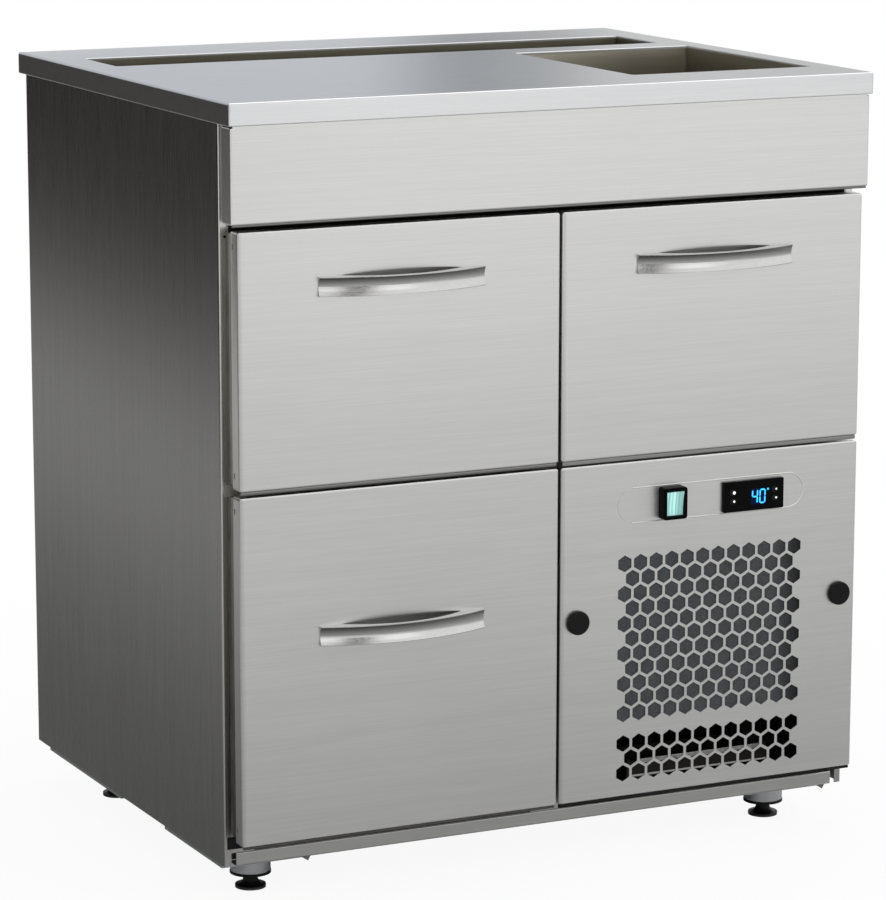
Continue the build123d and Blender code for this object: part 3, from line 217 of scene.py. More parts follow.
def combine(tree, operation, first, second):
    """Two values put together by a maths operation."""
    node = tree.nodes.new("ShaderNodeMath")
    node.operation = operation
    tree.links.new(first, node.inputs[0])
    tree.links.new(second, node.inputs[1])
    return node.outputs["Value"]


def tint(tree, value, dark, light, start=0.3, end=0.7):
    """A colour between dark and light, by a value."""
    node = tree.nodes.new("ShaderNodeValToRGB")
    node.color_ramp.elements[0].position = start
    node.color_ramp.elements[0].color = (*dark, 1)
    node.color_ramp.elements[1].position = end
    node.color_ramp.elements[1].color = (*light, 1)
    tree.links.new(value, node.inputs["Fac"])
    return node.outputs["Color"]


def multiply(tree, first, second):
    """One colour multiplied by another."""
    node = tree.nodes.new("ShaderNodeMix")
    node.data_type = "RGBA"
    node.blend_type = "MULTIPLY"
    node.inputs["Factor"].default_value = 1.0
    tree.links.new(first, node.inputs["A"])
    tree.links.new(second, node.inputs["B"])
    return node.outputs["Result"]


def uneven_gloss(tree, shader, value, roughness, play):
    """Roughness that falls by play[0] and rises by play[1] with a value."""
    uneven = spread(tree, value, roughness - play[0], roughness + play[1])
    tree.links.new(uneven, shader.inputs["Roughness"])


def relief(tree, shader, height, depth, strength=1.0):
    """Bump of a given depth in metres, from a value."""
    node = tree.nodes.new("ShaderNodeBump")
    node.inputs["Strength"].default_value = strength
    node.inputs["Distance"].default_value = depth
    tree.links.new(height, node.inputs["Height"])
    tree.links.new(node.outputs["Normal"], shader.inputs["Normal"])


def own_light(tree, shader, colour, strength):
    """Give a shader one colour for its surface and for the light it sends out."""
    tree.links.new(colour, shader.inputs["Base Color"])
    tree.links.new(colour, shader.inputs["Emission Color"])
    shader.inputs["Emission Strength"].default_value = strength


def along(tree, colour, axis, reach, tones):
    """A colour multiplied by tones[0] to tones[1] from reach[0] to reach[1] metres along an axis."""
    share = spread(tree, position(tree, axis), 0, 1, *reach)
    return multiply(tree, colour, tint(tree, share, grey(tones[0]), grey(tones[1]), 0, 1))


def all_over(tone):
    """A grade for along that has the same tone everywhere."""
    return ("Z", (0, 1), (tone, tone))


def graded(tree, colour, grades):
    """A colour with each of several changes along an axis laid over it."""
    for grade in grades:
        colour = along(tree, colour, *grade)
    return colour


def turned(tree, colour, direction, reach, grade):
    """A colour with a change along an axis laid over it, but only where the surface faces a direction.

    It comes in while the normal's part along the direction goes from reach[0] to reach[1].
    """
    geometry = tree.nodes.new("ShaderNodeNewGeometry")
    part = tree.nodes.new("ShaderNodeVectorMath")
    part.operation = "DOT_PRODUCT"
    part.inputs[1].default_value = direction
    tree.links.new(geometry.outputs["Normal"], part.inputs[0])
    blend = tree.nodes.new("ShaderNodeMix")
    blend.data_type = "RGBA"
    tree.links.new(spread(tree, part.outputs["Value"], 0, 1, *reach), blend.inputs["Factor"])
    tree.links.new(colour, blend.inputs["A"])
    tree.links.new(along(tree, colour, *grade), blend.inputs["B"])
    return blend.outputs["Result"]


def brushed_metal(name, colour, grain, roughness=0.34, streak=0.04, bands=0.03, turns=(), grades=()):
    """Brushed metal sheet: fine streaks along the grain, broad bands and faint clouds."""
    material, tree, shader = start_material(name)
    fine = noise(tree, grain_stretch(grain, *STREAK_SCALES), detail=4)
    band = noise(tree, grain_stretch(grain, *BAND_SCALES), detail=3)
    cloud = even_noise(tree, CLOUD_SCALE, detail=2)
    fine_colour = tint(tree, fine, shade(colour, 1 - streak), shade(colour, 1 + streak))
    streaked = multiply(tree, fine_colour, tint(tree, band, grey(1 - bands), WHITE))
    clouded = multiply(tree, streaked, tint(tree, cloud, grey(CLOUD_TONE), WHITE))
    finished = graded(tree, clouded, grades)
    for turn in turns:
        finished = turned(tree, finished, *turn)
    tree.links.new(finished, shader.inputs["Base Color"])
    uneven_gloss(tree, shader, fine, roughness, BRUSHED_PLAY)
    relief(tree, shader, fine, GRAIN_DEPTH, GRAIN_STRENGTH)
    shader.inputs["Metallic"].default_value = 1.0
    shader.inputs["Anisotropic"].default_value = GRAIN_SHINE
    direction = tree.nodes.new("ShaderNodeVectorTransform")
    direction.vector_type = "VECTOR"
    direction.convert_from = "OBJECT"
    direction.convert_to = "WORLD"
    direction.inputs["Vector"].default_value = grain_stretch(grain, 1.0, GRAIN_SKEW)
    tree.links.new(direction.outputs["Vector"], shader.inputs["Tangent"])
    return material


def plain_metal(name, colour, roughness, mottle):
    """Metal without a grain: a faint mottle in colour and gloss."""
    material, tree, shader = start_material(name)
    fleck = even_noise(tree, mottle, detail=4)
    tree.links.new(tint(tree, fleck, shade(colour, FLECK_TONE), colour), shader.inputs["Base Color"])
    uneven_gloss(tree, shader, fleck, roughness, METAL_PLAY)
    shader.inputs["Metallic"].default_value = 1.0
    return material


def moulded(name, colour, roughness, gloss, grain=900, depth=0.00003, grades=()):
    """Moulded plastic or rubber: fine grain, in features a metre, in its gloss and surface."""
    material, tree, shader = start_material(name)
    fine = even_noise(tree, grain)
    broad = even_noise(tree, MOTTLE_SCALE)
    mottled = tint(tree, broad, shade(colour, MOTTLE_TONES[0]), shade(colour, MOTTLE_TONES[1]))
    tree.links.new(graded(tree, mottled, grades), shader.inputs["Base Color"])
    uneven_gloss(tree, shader, fine, roughness, MOULDED_PLAY)
    shader.inputs["Specular IOR Level"].default_value = gloss
    relief(tree, shader, fine, depth, MOULDED_STRENGTH)
    return material


def fleece(name):
    """Coarse open fleece, mottled from dark to light, with a painted shadow at its right end."""
    material, tree, shader = start_material(name)
    fibre = even_noise(tree, FIBRE_SCALE, detail=5, roughness=0.7)
    patch = even_noise(tree, PATCH_SCALE)
    fibre_colour = tint(tree, fibre, FLEECE_DARK, FLEECE_LIGHT, start=0.35, end=0.68)
    mottled = multiply(tree, fibre_colour, tint(tree, patch, PATCH_DARK, WHITE))
    end_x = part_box("filter_mat")[1].x - FLEECE_HIDDEN
    shaded = along(tree, mottled, "X", (end_x - FLEECE_SHADE, end_x), (1.0, FLEECE_SHADE_TONE))
    tree.links.new(shaded, shader.inputs["Base Color"])
    shader.inputs["Roughness"].default_value = FLEECE_ROUGHNESS
    relief(tree, shader, fibre, FIBRE_DEPTH)
    return material


def lit_plastic(name, colour, strength):
    """Tinted plastic with a lamp behind it, and painted reflections as bright streaks that run up and down.
    """
    material, tree, shader = start_material(name)
    streaks = noise(tree, GLINT_SCALES, detail=2)
    bright = tuple(min(1, channel * GLINT_BRIGHT + GLINT_LIFT) for channel in colour)
    streaked = tint(tree, streaks, shade(colour, GLINT_DARK), bright, start=0.35, end=0.65)
    own_light(tree, shader, streaked, strength)
    shader.inputs["Roughness"].default_value = LIT_ROUGHNESS
    return material


def light_mark(name, colour, strength):
    """A lit mark, or a printed one given a painted glow, a little uneven."""
    material, tree, shader = start_material(name)
    uneven = even_noise(tree, MARK_SCALE, detail=2)
    own_light(tree, shader, tint(tree, uneven, shade(colour, MARK_TONE), colour), strength)
    shader.inputs["Specular IOR Level"].default_value = MARK_GLOSS
    shader.inputs["Roughness"].default_value = MARK_ROUGHNESS
    return material


# Painted light and shade by the way a surface faces: a direction, the reach of the normal's part along it,
# a grade
# Painted light on faces that turn left, brighter higher up
lit_left_returns = (LEFT, (0.3, 0.9), ("Z", (0.47, 0.75), (0.78, 1.72)))
# Painted highlight on bends that face up
lit_top_bends = (UP, (0.3, 0.8), all_over(1.36))
# Painted light on the front flanges of the side panels, brighter higher up
lit_front_flanges = (FRONT, (0.2, 0.9), ("Z", (0.10, 0.75), (1.35, 2.5)))
# Painted shade where the handle's cove turns down
shaded_cove = (UNDER_HANDLE, (-0.12, 0.50), all_over(0.17))
# Painted shade in corners that face front and left
shaded_corners = (FRONT_LEFT, SQUARE_ON, all_over(0.5))
# Painted light on back walls that face the front
lit_back_walls = (FRONT, SQUARE_ON, all_over(1.22))
# Painted shade on right walls that face left
shaded_right_walls = (LEFT, SQUARE_ON, all_over(0.83))


def front_sheet(node):
    """Steel of one front, with painted shade on its left bend and painted light on its left return and top
    bend.
    """
    left_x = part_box(node)[0].x
    shaded_left_bend = (FRONT, (0.5, 0.9), ("X", (left_x, left_x + BEND_SHADE), (BEND_TONE, 1.0)))
    return brushed_metal(f"{node}_steel", STEEL, grain=SIDEWAYS, turns=(lit_left_returns, lit_top_bends, shaded_left_bend))


def rail_sheet():
    """Steel of the base rail, with painted shade along its lower edge."""
    low_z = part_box("base_rail")[0].z
    grades = (("Z", (low_z + RAIL_SHADE[0], low_z + RAIL_SHADE[1]), (RAIL_TONE, 1.0)),)
    return brushed_metal("rail_steel", RAIL_STEEL, grain=SIDEWAYS, grades=grades)


def well_sheet():
    """Steel of the well, with painted shade towards its floor and painted light at its left end."""
    low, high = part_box("side_well")
    grades = (
        ("Z", (high.z - WELL_SHADE, high.z), WELL_TONES),
        ("X", (low.x + WELL_LIGHT[0], low.x + WELL_LIGHT[1]), WELL_LIGHT_TONES),
    )
    turns = (shaded_corners, lit_back_walls, shaded_right_walls)
    return brushed_metal("shaded_basin_steel", SHADED_BASIN_STEEL, grain=SIDEWAYS, turns=turns, grades=grades)


# Stainless steel with painted light on its left returns and a painted highlight on its top bends
front_steel = brushed_metal("front_steel", STEEL, grain=SIDEWAYS, turns=(lit_left_returns, lit_top_bends))
# Side panel steel: darker as painted shade, with painted light on its front flanges
shaded_side_steel = brushed_metal(
    "shaded_side_steel", SHADED_SIDE_STEEL, grain=UPRIGHT, roughness=0.28, streak=0.08, bands=0.08, turns=(lit_front_flanges,)
)
top_steel = brushed_metal("top_steel", STEEL_TOP, grain=SIDEWAYS, roughness=0.30)
# Channel steel with painted shade in its corners
shaded_channel_steel = brushed_metal("shaded_channel_steel", SHADED_CHANNEL_STEEL, grain=SIDEWAYS, turns=(shaded_corners,))
# Handle aluminium with painted shade in its downturned cove
handle_metal = brushed_metal("handle_metal", ALUMINIUM, grain=SIDEWAYS, roughness=0.22, turns=(shaded_cove,))
edge_steel = plain_metal("edge_steel", EDGE_STEEL, roughness=0.4, mottle=200)
zinc_sheet = plain_metal("zinc_sheet", ZINC, roughness=0.45, mottle=90)
fin_metal = plain_metal("fin_metal", ALUMINIUM, roughness=0.4, mottle=160)
copper = plain_metal("copper", COPPER, roughness=0.35, mottle=120)
liner_skin = plain_metal("liner_skin", LINER, roughness=0.36, mottle=40)
# Tray steel darkened as painted shade
shaded_tray_metal = plain_metal("shaded_tray_metal", SHADED_TRAY, roughness=0.5, mottle=70)
black_plastic = moulded("black_plastic", BLACK_PLASTIC, roughness=0.42, gloss=0.14)
switch_plastic = moulded("switch_plastic", DEEP_BLACK, roughness=0.30, gloss=0.02, grain=500)
display_plastic = moulded(
    "display_plastic", DEEP_BLACK, roughness=0.22, gloss=0.03, grain=300, depth=0.00001
)
black_enamel = moulded("black_enamel", BLACK_PLASTIC, roughness=0.4, gloss=0.2, grain=350)
foam_tape = moulded("foam_tape", RUBBER, roughness=0.8, gloss=0.1)
# Painted shade low on the gaskets and painted light higher up
gasket_light_and_shade = (("Z", GASKET_REACH, GASKET_TONES),)
gasket_rubber = moulded("gasket_rubber", GASKET, roughness=0.6, gloss=0.25, grades=gasket_light_and_shade)
# Painted light on each foot's lower rim, much lighter close to the floor
foot_rim_light = (("Z", FOOT_LIT_RIM, (FOOT_LIT_RIM_TONE, 1)),)
foot_plastic = moulded("foot_plastic", BLACK_PLASTIC, roughness=0.42, gloss=0.14, grades=foot_rim_light)
digit_light = light_mark("digit_light", DIGIT_BLUE, strength=1.4)
glow_light = light_mark("glow_light", GLOW_BLUE, strength=1.0)
# Printed key marks, given a painted glow
glowing_print = light_mark("glowing_print", ICON_WHITE, strength=0.7)

FRONTS = ("top_left_front", "top_right_front", "bottom_left_front", "machine_panel")
FEET = ("front_left_foot", "front_right_foot", "rear_left_foot", "rear_right_foot")
FINISHES = {
    **{node: front_sheet(node) for node in FRONTS},
    **{node: foot_plastic for node in FEET},
    "worktop": top_steel,
    "rear_channel": shaded_channel_steel,
    "side_well": well_sheet(),
    "left_side_panel": shaded_side_steel,
    "right_side_panel": shaded_side_steel,
    "base_rail": rail_sheet(),
    "thermostat_case": display_plastic,
    "filter_mat": fleece("filter_fleece"),
    "switch_frame": switch_plastic,
    "switch_rocker": lit_plastic("rocker_light", MINT, strength=0.52),
    "compressor": black_enamel,
    "condenser": black_enamel,
    "evaporator_coil": fin_metal,
    "condensate_tray": shaded_tray_metal,
    "refrigerant_tubes": copper,
}
SLOT_FINISHES = {
    "stainless_steel": front_steel,
    "foamed_panel": liner_skin,
    "zinc_plated_steel": zinc_sheet,
    "satin_aluminium": handle_metal,
    "seal_rubber": gasket_rubber,
    "black_plastic": black_plastic,
    "soft_key": black_plastic,
}


def finish_nodes():
    """Give every CAD node its own finish, or else the one of its slot."""
    slots = {row["node"]: row["material_slot"] for row in frame["record"]["subparts"]}
    for name, node in nodes.items():
        material = FINISHES.get(name) or SLOT_FINISHES[slots[name]]
        node.data.materials.clear()
        node.data.materials.append(material)


finish_nodes()


# Pieces that only the looks need
EDGE_SOFTNESS = 0.25


def place_mesh(name, mesh, material):
    """Put a finished bmesh into the scene as an object with one material."""
    data = bpy.data.meshes.new(name)
    mesh.to_mesh(data)
    mesh.free()
    data.materials.append(material)
    placed = bpy.data.objects.new(name, data)
    bpy.context.scene.collection.objects.link(placed)
    return placed


def add_piece(name, mesh, body, material):
    """Put a finished bmesh into the scene as a piece that rides on a body."""
    piece = place_mesh(name, mesh, material)
    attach(piece, body)


def middle(node):
    """The middle of a node's box."""
    low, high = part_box(node)
    return (low + high) / 2


def only(items, kind):
    """The vertices, or the edges, among the items that an operator gives back."""
    return [item for item in items if isinstance(item, kind)]


def block(low, high):
    """A bar between two corners, with softened edges."""
    mesh = bmesh.new()
    size = Vector(high) - Vector(low)
    place = Matrix.Translation((Vector(low) + Vector(high)) / 2) @ Matrix.Diagonal((*size, 1))
    bmesh.ops.create_cube(mesh, size=1, matrix=place)
    bmesh.ops.bevel(
        mesh, geom=mesh.edges[:], offset=min(size) * EDGE_SOFTNESS, affect="EDGES", segments=2, profile=0.5,
        material=-1,
    )
    return mesh


def add_disc(mesh, place, radius, taper, depth, sides, turn=math.pi / 2):
    """Add a flat round form that narrows towards the front, or towards the back with the opposite turn."""
    matrix = Matrix.Translation(place) @ Matrix.Rotation(turn, 4, "X")
    bmesh.ops.create_cone(
        mesh, cap_ends=True, segments=sides, radius1=radius, radius2=radius * taper, depth=depth,
        matrix=matrix,
    )


# Thermostat: seven-bar digits, the degree mark, the glow behind them and a white printed mark on each key,
# which glows as painted light
DIGIT_HEIGHT = 0.0170
DIGIT_WIDTH = 0.0082
DIGIT_BAR = 0.0017
DIGIT_GAP = 0.0002
DIGIT_DEPTH = 0.0003
DIGIT_PITCH = 0.0100
DIGIT_LEAN = 0.03
DIGIT_BARS = {"4": "bcfg", "0": "abcdef"}
NUMBER = "40"
NUMBER_SHIFT = 0.0015
NUMBER_DROP = 0.0018
DEGREE_RADIUS = DIGIT_BAR * 0.7
DEGREE_INSET = DIGIT_WIDTH * 0.35
DEGREE_SIDES = 16
GLOW_DEPTH = 0.00015
KEY_MARKS = {
    "upper_left_key": 0.0021,
    "lower_left_key": 0.0015,
    "upper_right_key": 0.0012,
    "lower_right_key": 0.0013,
}
KEY_MARK_SHIFT = 0.0016
KEY_MARK_DEPTH = 0.0004
MARK_TAPER = 0.8
MARK_SIDES = 24


def digit_bar(mesh, centre, length, upright):
    """One pointed bar of a digit, lying on the display."""
    half = length / 2 - DIGIT_GAP
    point = DIGIT_BAR / 2
    outline = [
        (-half, 0), (-half + point, point), (half - point, point),
        (half, 0), (half - point, -point), (-half + point, -point),
    ]
    corners = []
    for lengthwise, across in outline:
        x, z = (across, lengthwise) if upright else (lengthwise, across)
        corners.append(mesh.verts.new((centre[0] + x, 0, centre[1] + z)))
    face = mesh.faces.new(corners)
    grown = bmesh.ops.extrude_face_region(mesh, geom=[face])
    bmesh.ops.translate(mesh, verts=only(grown["geom"], bmesh.types.BMVert), vec=(0, -DIGIT_DEPTH, 0))


def display_number(text, place):
    """A lit number, leaning as such displays do; place is the middle of its first digit."""
    half_width = DIGIT_WIDTH / 2 - DIGIT_BAR / 2
    half_height = DIGIT_HEIGHT / 2 - DIGIT_BAR / 2
    bars = {
        "a": ((0, half_height), 2 * half_width, False),
        "b": ((half_width, half_height / 2), half_height, True),
        "c": ((half_width, -half_height / 2), half_height, True),
        "d": ((0, -half_height), 2 * half_width, False),
        "e": ((-half_width, -half_height / 2), half_height, True),
        "f": ((-half_width, half_height / 2), half_height, True),
        "g": ((0, 0), 2 * half_width, False),
    }
    mesh = bmesh.new()
    for index, digit in enumerate(text):
        for bar in DIGIT_BARS[digit]:
            centre, length, upright = bars[bar]
            digit_bar(mesh, (centre[0] + index * DIGIT_PITCH, centre[1]), length, upright)
    degree_x = len(text) * DIGIT_PITCH - DEGREE_INSET
    add_disc(mesh, (degree_x, 0, half_height), DEGREE_RADIUS, 1, DIGIT_DEPTH, DEGREE_SIDES)
    for vert in mesh.verts:
        vert.co.x += vert.co.z * DIGIT_LEAN
    bmesh.ops.recalc_face_normals(mesh, faces=mesh.faces)
    bmesh.ops.translate(mesh, verts=mesh.verts, vec=place)
    return mesh


def round_mark(place, radius, depth):
    """A flat round mark facing the front."""
    mesh = bmesh.new()
    add_disc(mesh, place, radius, MARK_TAPER, depth, MARK_SIDES)
    return mesh


def dress_display():
    """The lit number on the thermostat, and the faint glow behind it."""
    centre = middle("thermostat_case")
    front_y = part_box("thermostat_case")[0].y
    place = Vector((centre.x + NUMBER_SHIFT, front_y, centre.z - NUMBER_DROP))
    digits = display_number(NUMBER, place)
    add_piece("display_digits", digits, "machine_cover", digit_light)
    half_glow = Vector((DIGIT_PITCH, 0, DIGIT_HEIGHT / 2 + DIGIT_BAR / 2))
    glow_middle = place + Vector((DIGIT_PITCH / 2, 0, 0))
    glow = block(glow_middle - half_glow - Vector((0, GLOW_DEPTH, 0)), glow_middle + half_glow)
    add_piece("display_glow", glow, "machine_cover", glow_light)


def mark_keys():
    """A white printed mark on each key of the thermostat, with a painted glow."""
    for key, radius in KEY_MARKS.items():
        centre = middle(key)
        place = Vector((centre.x + KEY_MARK_SHIFT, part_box(key)[0].y, centre.z))
        add_piece(f"{key}_mark", round_mark(place, radius, KEY_MARK_DEPTH), key, glowing_print)


dress_display()
mark_keys()


# Trim: the control strip's edge, plugs, screws, tapes and strips that paint shade, the skirt's seam, hems
# with painted shade and the tray's edges
STRIP_LENGTH = 0.243
STRIP_HEIGHT = 0.0405
STRIP_OPEN_END = 0.018
BEAD_RADIUS = 0.0008
BEAD_SIDES = 10
ARC_STEPS = 20
PLUG_RADIUS = 0.0019
PLUG_DEPTH = 0.0006
PLUG_INSET = 0.0075
PLUG_HEIGHT = 0.753
SCREW_RADIUS = 0.0038
SCREW_TAPER = 0.7
SCREW_SIDES = 20
SCREW_HEAD = 0.0022
SCREW_LOWEST = 0.10
SCREW_PITCH = 0.17
SCREW_COUNT = 5
SCREW_INSET = 0.012
TAPE_DEPTH = 0.0012
TAPE_INSET = 0.0040
TAPE_PLAY = 0.0005
CORNER_LIFT = 0.004
SEAM_PROUD = 0.00005
SEAM_INSET = 0.003
SEAM_DEPTH = 0.0012
SEAM_LAP = 0.003
HEM_INSET = 0.002
HEM_SETBACK = 0.0008
HEM_DEPTH = 0.004
# Height of the dark strips that paint the shade under the lower fronts
SHADE_STRIP = 0.003
TRAY_EDGE = 0.0008
TRAY_INSET = 0.003
TRAY_RIM_RISE = 0.0042
TRAY_LIP = 0.0023
TRAY_SETBACK = 0.018
TRAY_LIFT = 0.016
TRAY_FLANGE = 0.018

# Hems: the body that carries each, its height, and its tones from its lower edge up, as painted shade
HEMS = {
    "front_apron": ("cabinet", 0.0022, (0.08, 0.45)),
    "top_left_front": ("top_left_drawer", 0.0044, (0.12, 0.46)),
    "top_right_front": ("top_right_drawer", 0.0048, (0.45, 0.42)),
}


def draw_out(mesh, ring, travel):
    """Draw a ring of edges out into a tube, and give the ring at its far end."""
    grown = bmesh.ops.extrude_edge_only(mesh, edges=ring)["geom"]
    bmesh.ops.translate(mesh, verts=only(grown, bmesh.types.BMVert), vec=travel)
    return only(grown, bmesh.types.BMEdge)


def control_strip_edge():
    """The pressed edge of the control strip: its top, its right end and its bottom, open at the left."""
    panel_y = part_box("machine_panel")[0].y
    centre_x = middle("machine_panel").x
    centre_z = middle("switch_frame").z
    half = STRIP_HEIGHT / 2
    start_x = centre_x - STRIP_LENGTH / 2 + STRIP_OPEN_END
    turn_x = centre_x + STRIP_LENGTH / 2 - half
    start = Matrix.Translation((start_x, panel_y, centre_z + half)) @ Matrix.Rotation(math.pi / 2, 4, "Y")
    run = Vector((turn_x - start_x, 0, 0))
    mesh = bmesh.new()
    bmesh.ops.create_circle(mesh, segments=BEAD_SIDES, radius=BEAD_RADIUS, matrix=start)
    ring = draw_out(mesh, mesh.edges[:], run)
    arc = bmesh.ops.spin(
        mesh, geom=ring, cent=(turn_x, panel_y, centre_z), axis=(0, 1, 0), angle=math.pi, steps=ARC_STEPS
    )
    draw_out(mesh, only(arc["geom_last"], bmesh.types.BMEdge), -run)
    bmesh.ops.holes_fill(mesh, edges=mesh.edges)
    bmesh.ops.recalc_face_normals(mesh, faces=mesh.faces)
    add_piece("control_strip_edge", mesh, "machine_cover", edge_steel)


def flange_places(inset):
    """The two side panels, each with the x that lies a distance in from its outer face."""
    left, right = "left_side_panel", "right_side_panel"
    return ((left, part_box(left)[0].x + inset), (right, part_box(right)[1].x - inset))


def frame_plugs():
    """A small black plug in the front flange of each side panel."""
    for node, x in flange_places(PLUG_INSET):
        plug = round_mark(Vector((x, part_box(node)[0].y, PLUG_HEIGHT)), PLUG_RADIUS, PLUG_DEPTH)
        add_piece(f"{node}_plug", plug, "cabinet", black_plastic)


def back_screws():
    """Pan-head screws down both back flanges, which hold the back panel."""
    mesh = bmesh.new()
    for node, x in flange_places(SCREW_INSET):
        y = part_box(node)[1].y + SCREW_HEAD / 2
        for index in range(SCREW_COUNT):
            place = (x, y, SCREW_LOWEST + index * SCREW_PITCH)
            add_disc(mesh, place, SCREW_RADIUS, SCREW_TAPER, SCREW_HEAD, SCREW_SIDES, turn=-math.pi / 2)
    add_piece("back_screws", mesh, "cabinet", zinc_sheet)


def shade_tapes():
    """Dark tapes on the body front that paint the shade in its gaps: above, between and below the drawers,
    and in the lower left corner.
    """
    body_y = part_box("insulated_ceiling")[0].y
    apron_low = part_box("front_apron")[0]
    tape_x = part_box("left_side_panel")[0].x + TAPE_INSET
    partition_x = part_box("centre_partition")[0].x
    floor_low, floor_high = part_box("insulated_floor")
    top_low, top_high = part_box("top_left_gasket")
    bottom_low, bottom_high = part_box("bottom_left_gasket")
    right_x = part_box("top_right_gasket")[1].x
    tapes = {
        "upper_shade_tape": (foam_tape, top_low.x, right_x, top_high.z, apron_low.z),
        "middle_shade_tape": (gasket_rubber, tape_x, partition_x, bottom_high.z, top_low.z),
        "lower_shade_tape": (foam_tape, floor_low.x, floor_high.x, floor_low.z, bottom_low.z),
        "corner_shade_tape": (foam_tape, tape_x, floor_low.x, floor_low.z + CORNER_LIFT, bottom_low.z),
    }
    for name, (material, left, right, low, high) in tapes.items():
        tape = block((left, body_y - TAPE_DEPTH, low + TAPE_PLAY), (right, body_y, high - TAPE_PLAY))
        add_piece(name, tape, "cabinet", material)


def skirt_seam():
    """The strip that closes the joint between the apron's top bend and the worktop's skirt."""
    apron_low, apron_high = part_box("front_apron")
    skirt_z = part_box("worktop")[0].z
    front_y = apron_low.y - SEAM_PROUD
    seam_low = (apron_low.x + SEAM_INSET, front_y, apron_high.z - SEAM_LAP)
    seam_high = (apron_high.x - SEAM_INSET, front_y + SEAM_DEPTH, skirt_z + SEAM_LAP)
    add_piece("skirt_seam", block(seam_low, seam_high), "cabinet", front_steel)


def lower_edge(node, height):
    """A bar under the lower edge of a front, a little behind its face."""
    low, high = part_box(node)
    front_y = low.y + HEM_SETBACK
    bar_low = (low.x + HEM_INSET, front_y, low.z - height)
    return block(bar_low, (high.x - HEM_INSET, front_y + HEM_DEPTH, low.z))


def lower_hems():
    """The folded hem under the apron and under each upper front, with its shadow painted on as darker
    steel.
    """
    for node, (body, height, tones) in HEMS.items():
        low_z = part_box(node)[0].z
        grades = (("Z", (low_z - height, low_z), tones),)
        steel = brushed_metal(f"{node}_shaded_hem_steel", STEEL, grain=SIDEWAYS, grades=grades)
        add_piece(f"{node}_hem", lower_edge(node, height), body, steel)


def shade_strips():
    """The dark strip, in rubber finishes, under the bottom drawer's front and under the machine panel,
    which paints the shade under their lower edges.
    """
    strips = {
        "bottom_left_front": ("bottom_left_drawer", gasket_rubber),
        "machine_panel": ("machine_cover", foam_tape),
    }
    for node, (body, rubber) in strips.items():
        add_piece(f"{node}_shade_strip", lower_edge(node, SHADE_STRIP), body, rubber)


def tray_edges():
    """The condensate tray's bright rim and lower edge, and its right flange in steel darkened as painted
    shade, seen through the lower grille.
    """
    low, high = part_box("condensate_tray")
    start_x = low.x + TRAY_INSET
    end_x = high.x + TRAY_FLANGE
    front_y = low.y + TRAY_SETBACK
    foot_z = low.z + TRAY_LIFT
    rim_high = (high.x - TRAY_INSET, low.y, high.z + TRAY_RIM_RISE)
    rim = block((start_x, low.y - TRAY_EDGE, high.z - TRAY_EDGE), rim_high)
    add_piece("tray_rim", rim, "cabinet", edge_steel)
    edge = block((start_x, front_y - TRAY_EDGE, foot_z), (end_x, front_y, foot_z + TRAY_LIP))
    add_piece("tray_edge", edge, "cabinet", edge_steel)
    flange = block((high.x, front_y, foot_z), (end_x, front_y + 2 * TRAY_EDGE, high.z))
    add_piece("tray_flange", flange, "cabinet", shaded_tray_metal)


control_strip_edge()
frame_plugs()
back_screws()
shade_tapes()
skirt_seam()
lower_hems()
shade_strips()
tray_edges()


# Studio: pale floor, white surroundings, soft lamps and screens for the metal to show
FLOOR_SIZE = 8
FLOOR_GREY = 0.80
FLOOR_ROUGHNESS = 0.9
FLOOR_FADE = (0.5, 1.4)
FLOOR_WHITE = (0.93, 1.0)
WORLD_LIGHT = 0.6
CARD_LIFT = 0.004
CARD_FRONT = -0.36
CARD_LEFT = -0.42

# Lamps: place and target in metres, width and height in metres, power in watts
SOFT_LIGHTS = {
    "front_box": ((1.2, -3.2, 2.6), (0, 0, 0.5), (2.4, 1.8), 60),
    "top_box": ((0.3, 0.6, 3.2), (0, 0, 0.9), (2.5, 2.0), 40),
}


def floor_material():
    """Pale floor: white to the eye at a distance, with the counter's shadow close by."""
    material, tree, shader = start_material("floor")
    shader.inputs["Base Color"].default_value = (*grey(FLOOR_GREY), 1)
    shader.inputs["Roughness"].default_value = FLOOR_ROUGHNESS
    white = tree.nodes.new("ShaderNodeEmission")
    white.inputs["Strength"].default_value = 1.0
    path = tree.nodes.new("ShaderNodeLightPath")
    coordinates = tree.nodes.new("ShaderNodeTexCoord")
    distance = tree.nodes.new("ShaderNodeVectorMath")
    distance.operation = "LENGTH"
    tree.links.new(coordinates.outputs["Object"], distance.inputs[0])
    share = spread(tree, distance.outputs["Value"], *FLOOR_WHITE, *FLOOR_FADE)
    mix = tree.nodes.new("ShaderNodeMixShader")
    tree.links.new(combine(tree, "MULTIPLY", path.outputs["Is Camera Ray"], share), mix.inputs["Fac"])
    tree.links.new(shader.outputs["BSDF"], mix.inputs[1])
    tree.links.new(white.outputs["Emission"], mix.inputs[2])
    tree.links.new(mix.outputs["Shader"], tree.nodes["Material Output"].inputs["Surface"])
    return material


def lay_floor():
    """A level floor under the counter."""
    mesh = bmesh.new()
    bmesh.ops.create_grid(mesh, x_segments=1, y_segments=1, size=FLOOR_SIZE)
    floor = place_mesh("floor", mesh, floor_material())


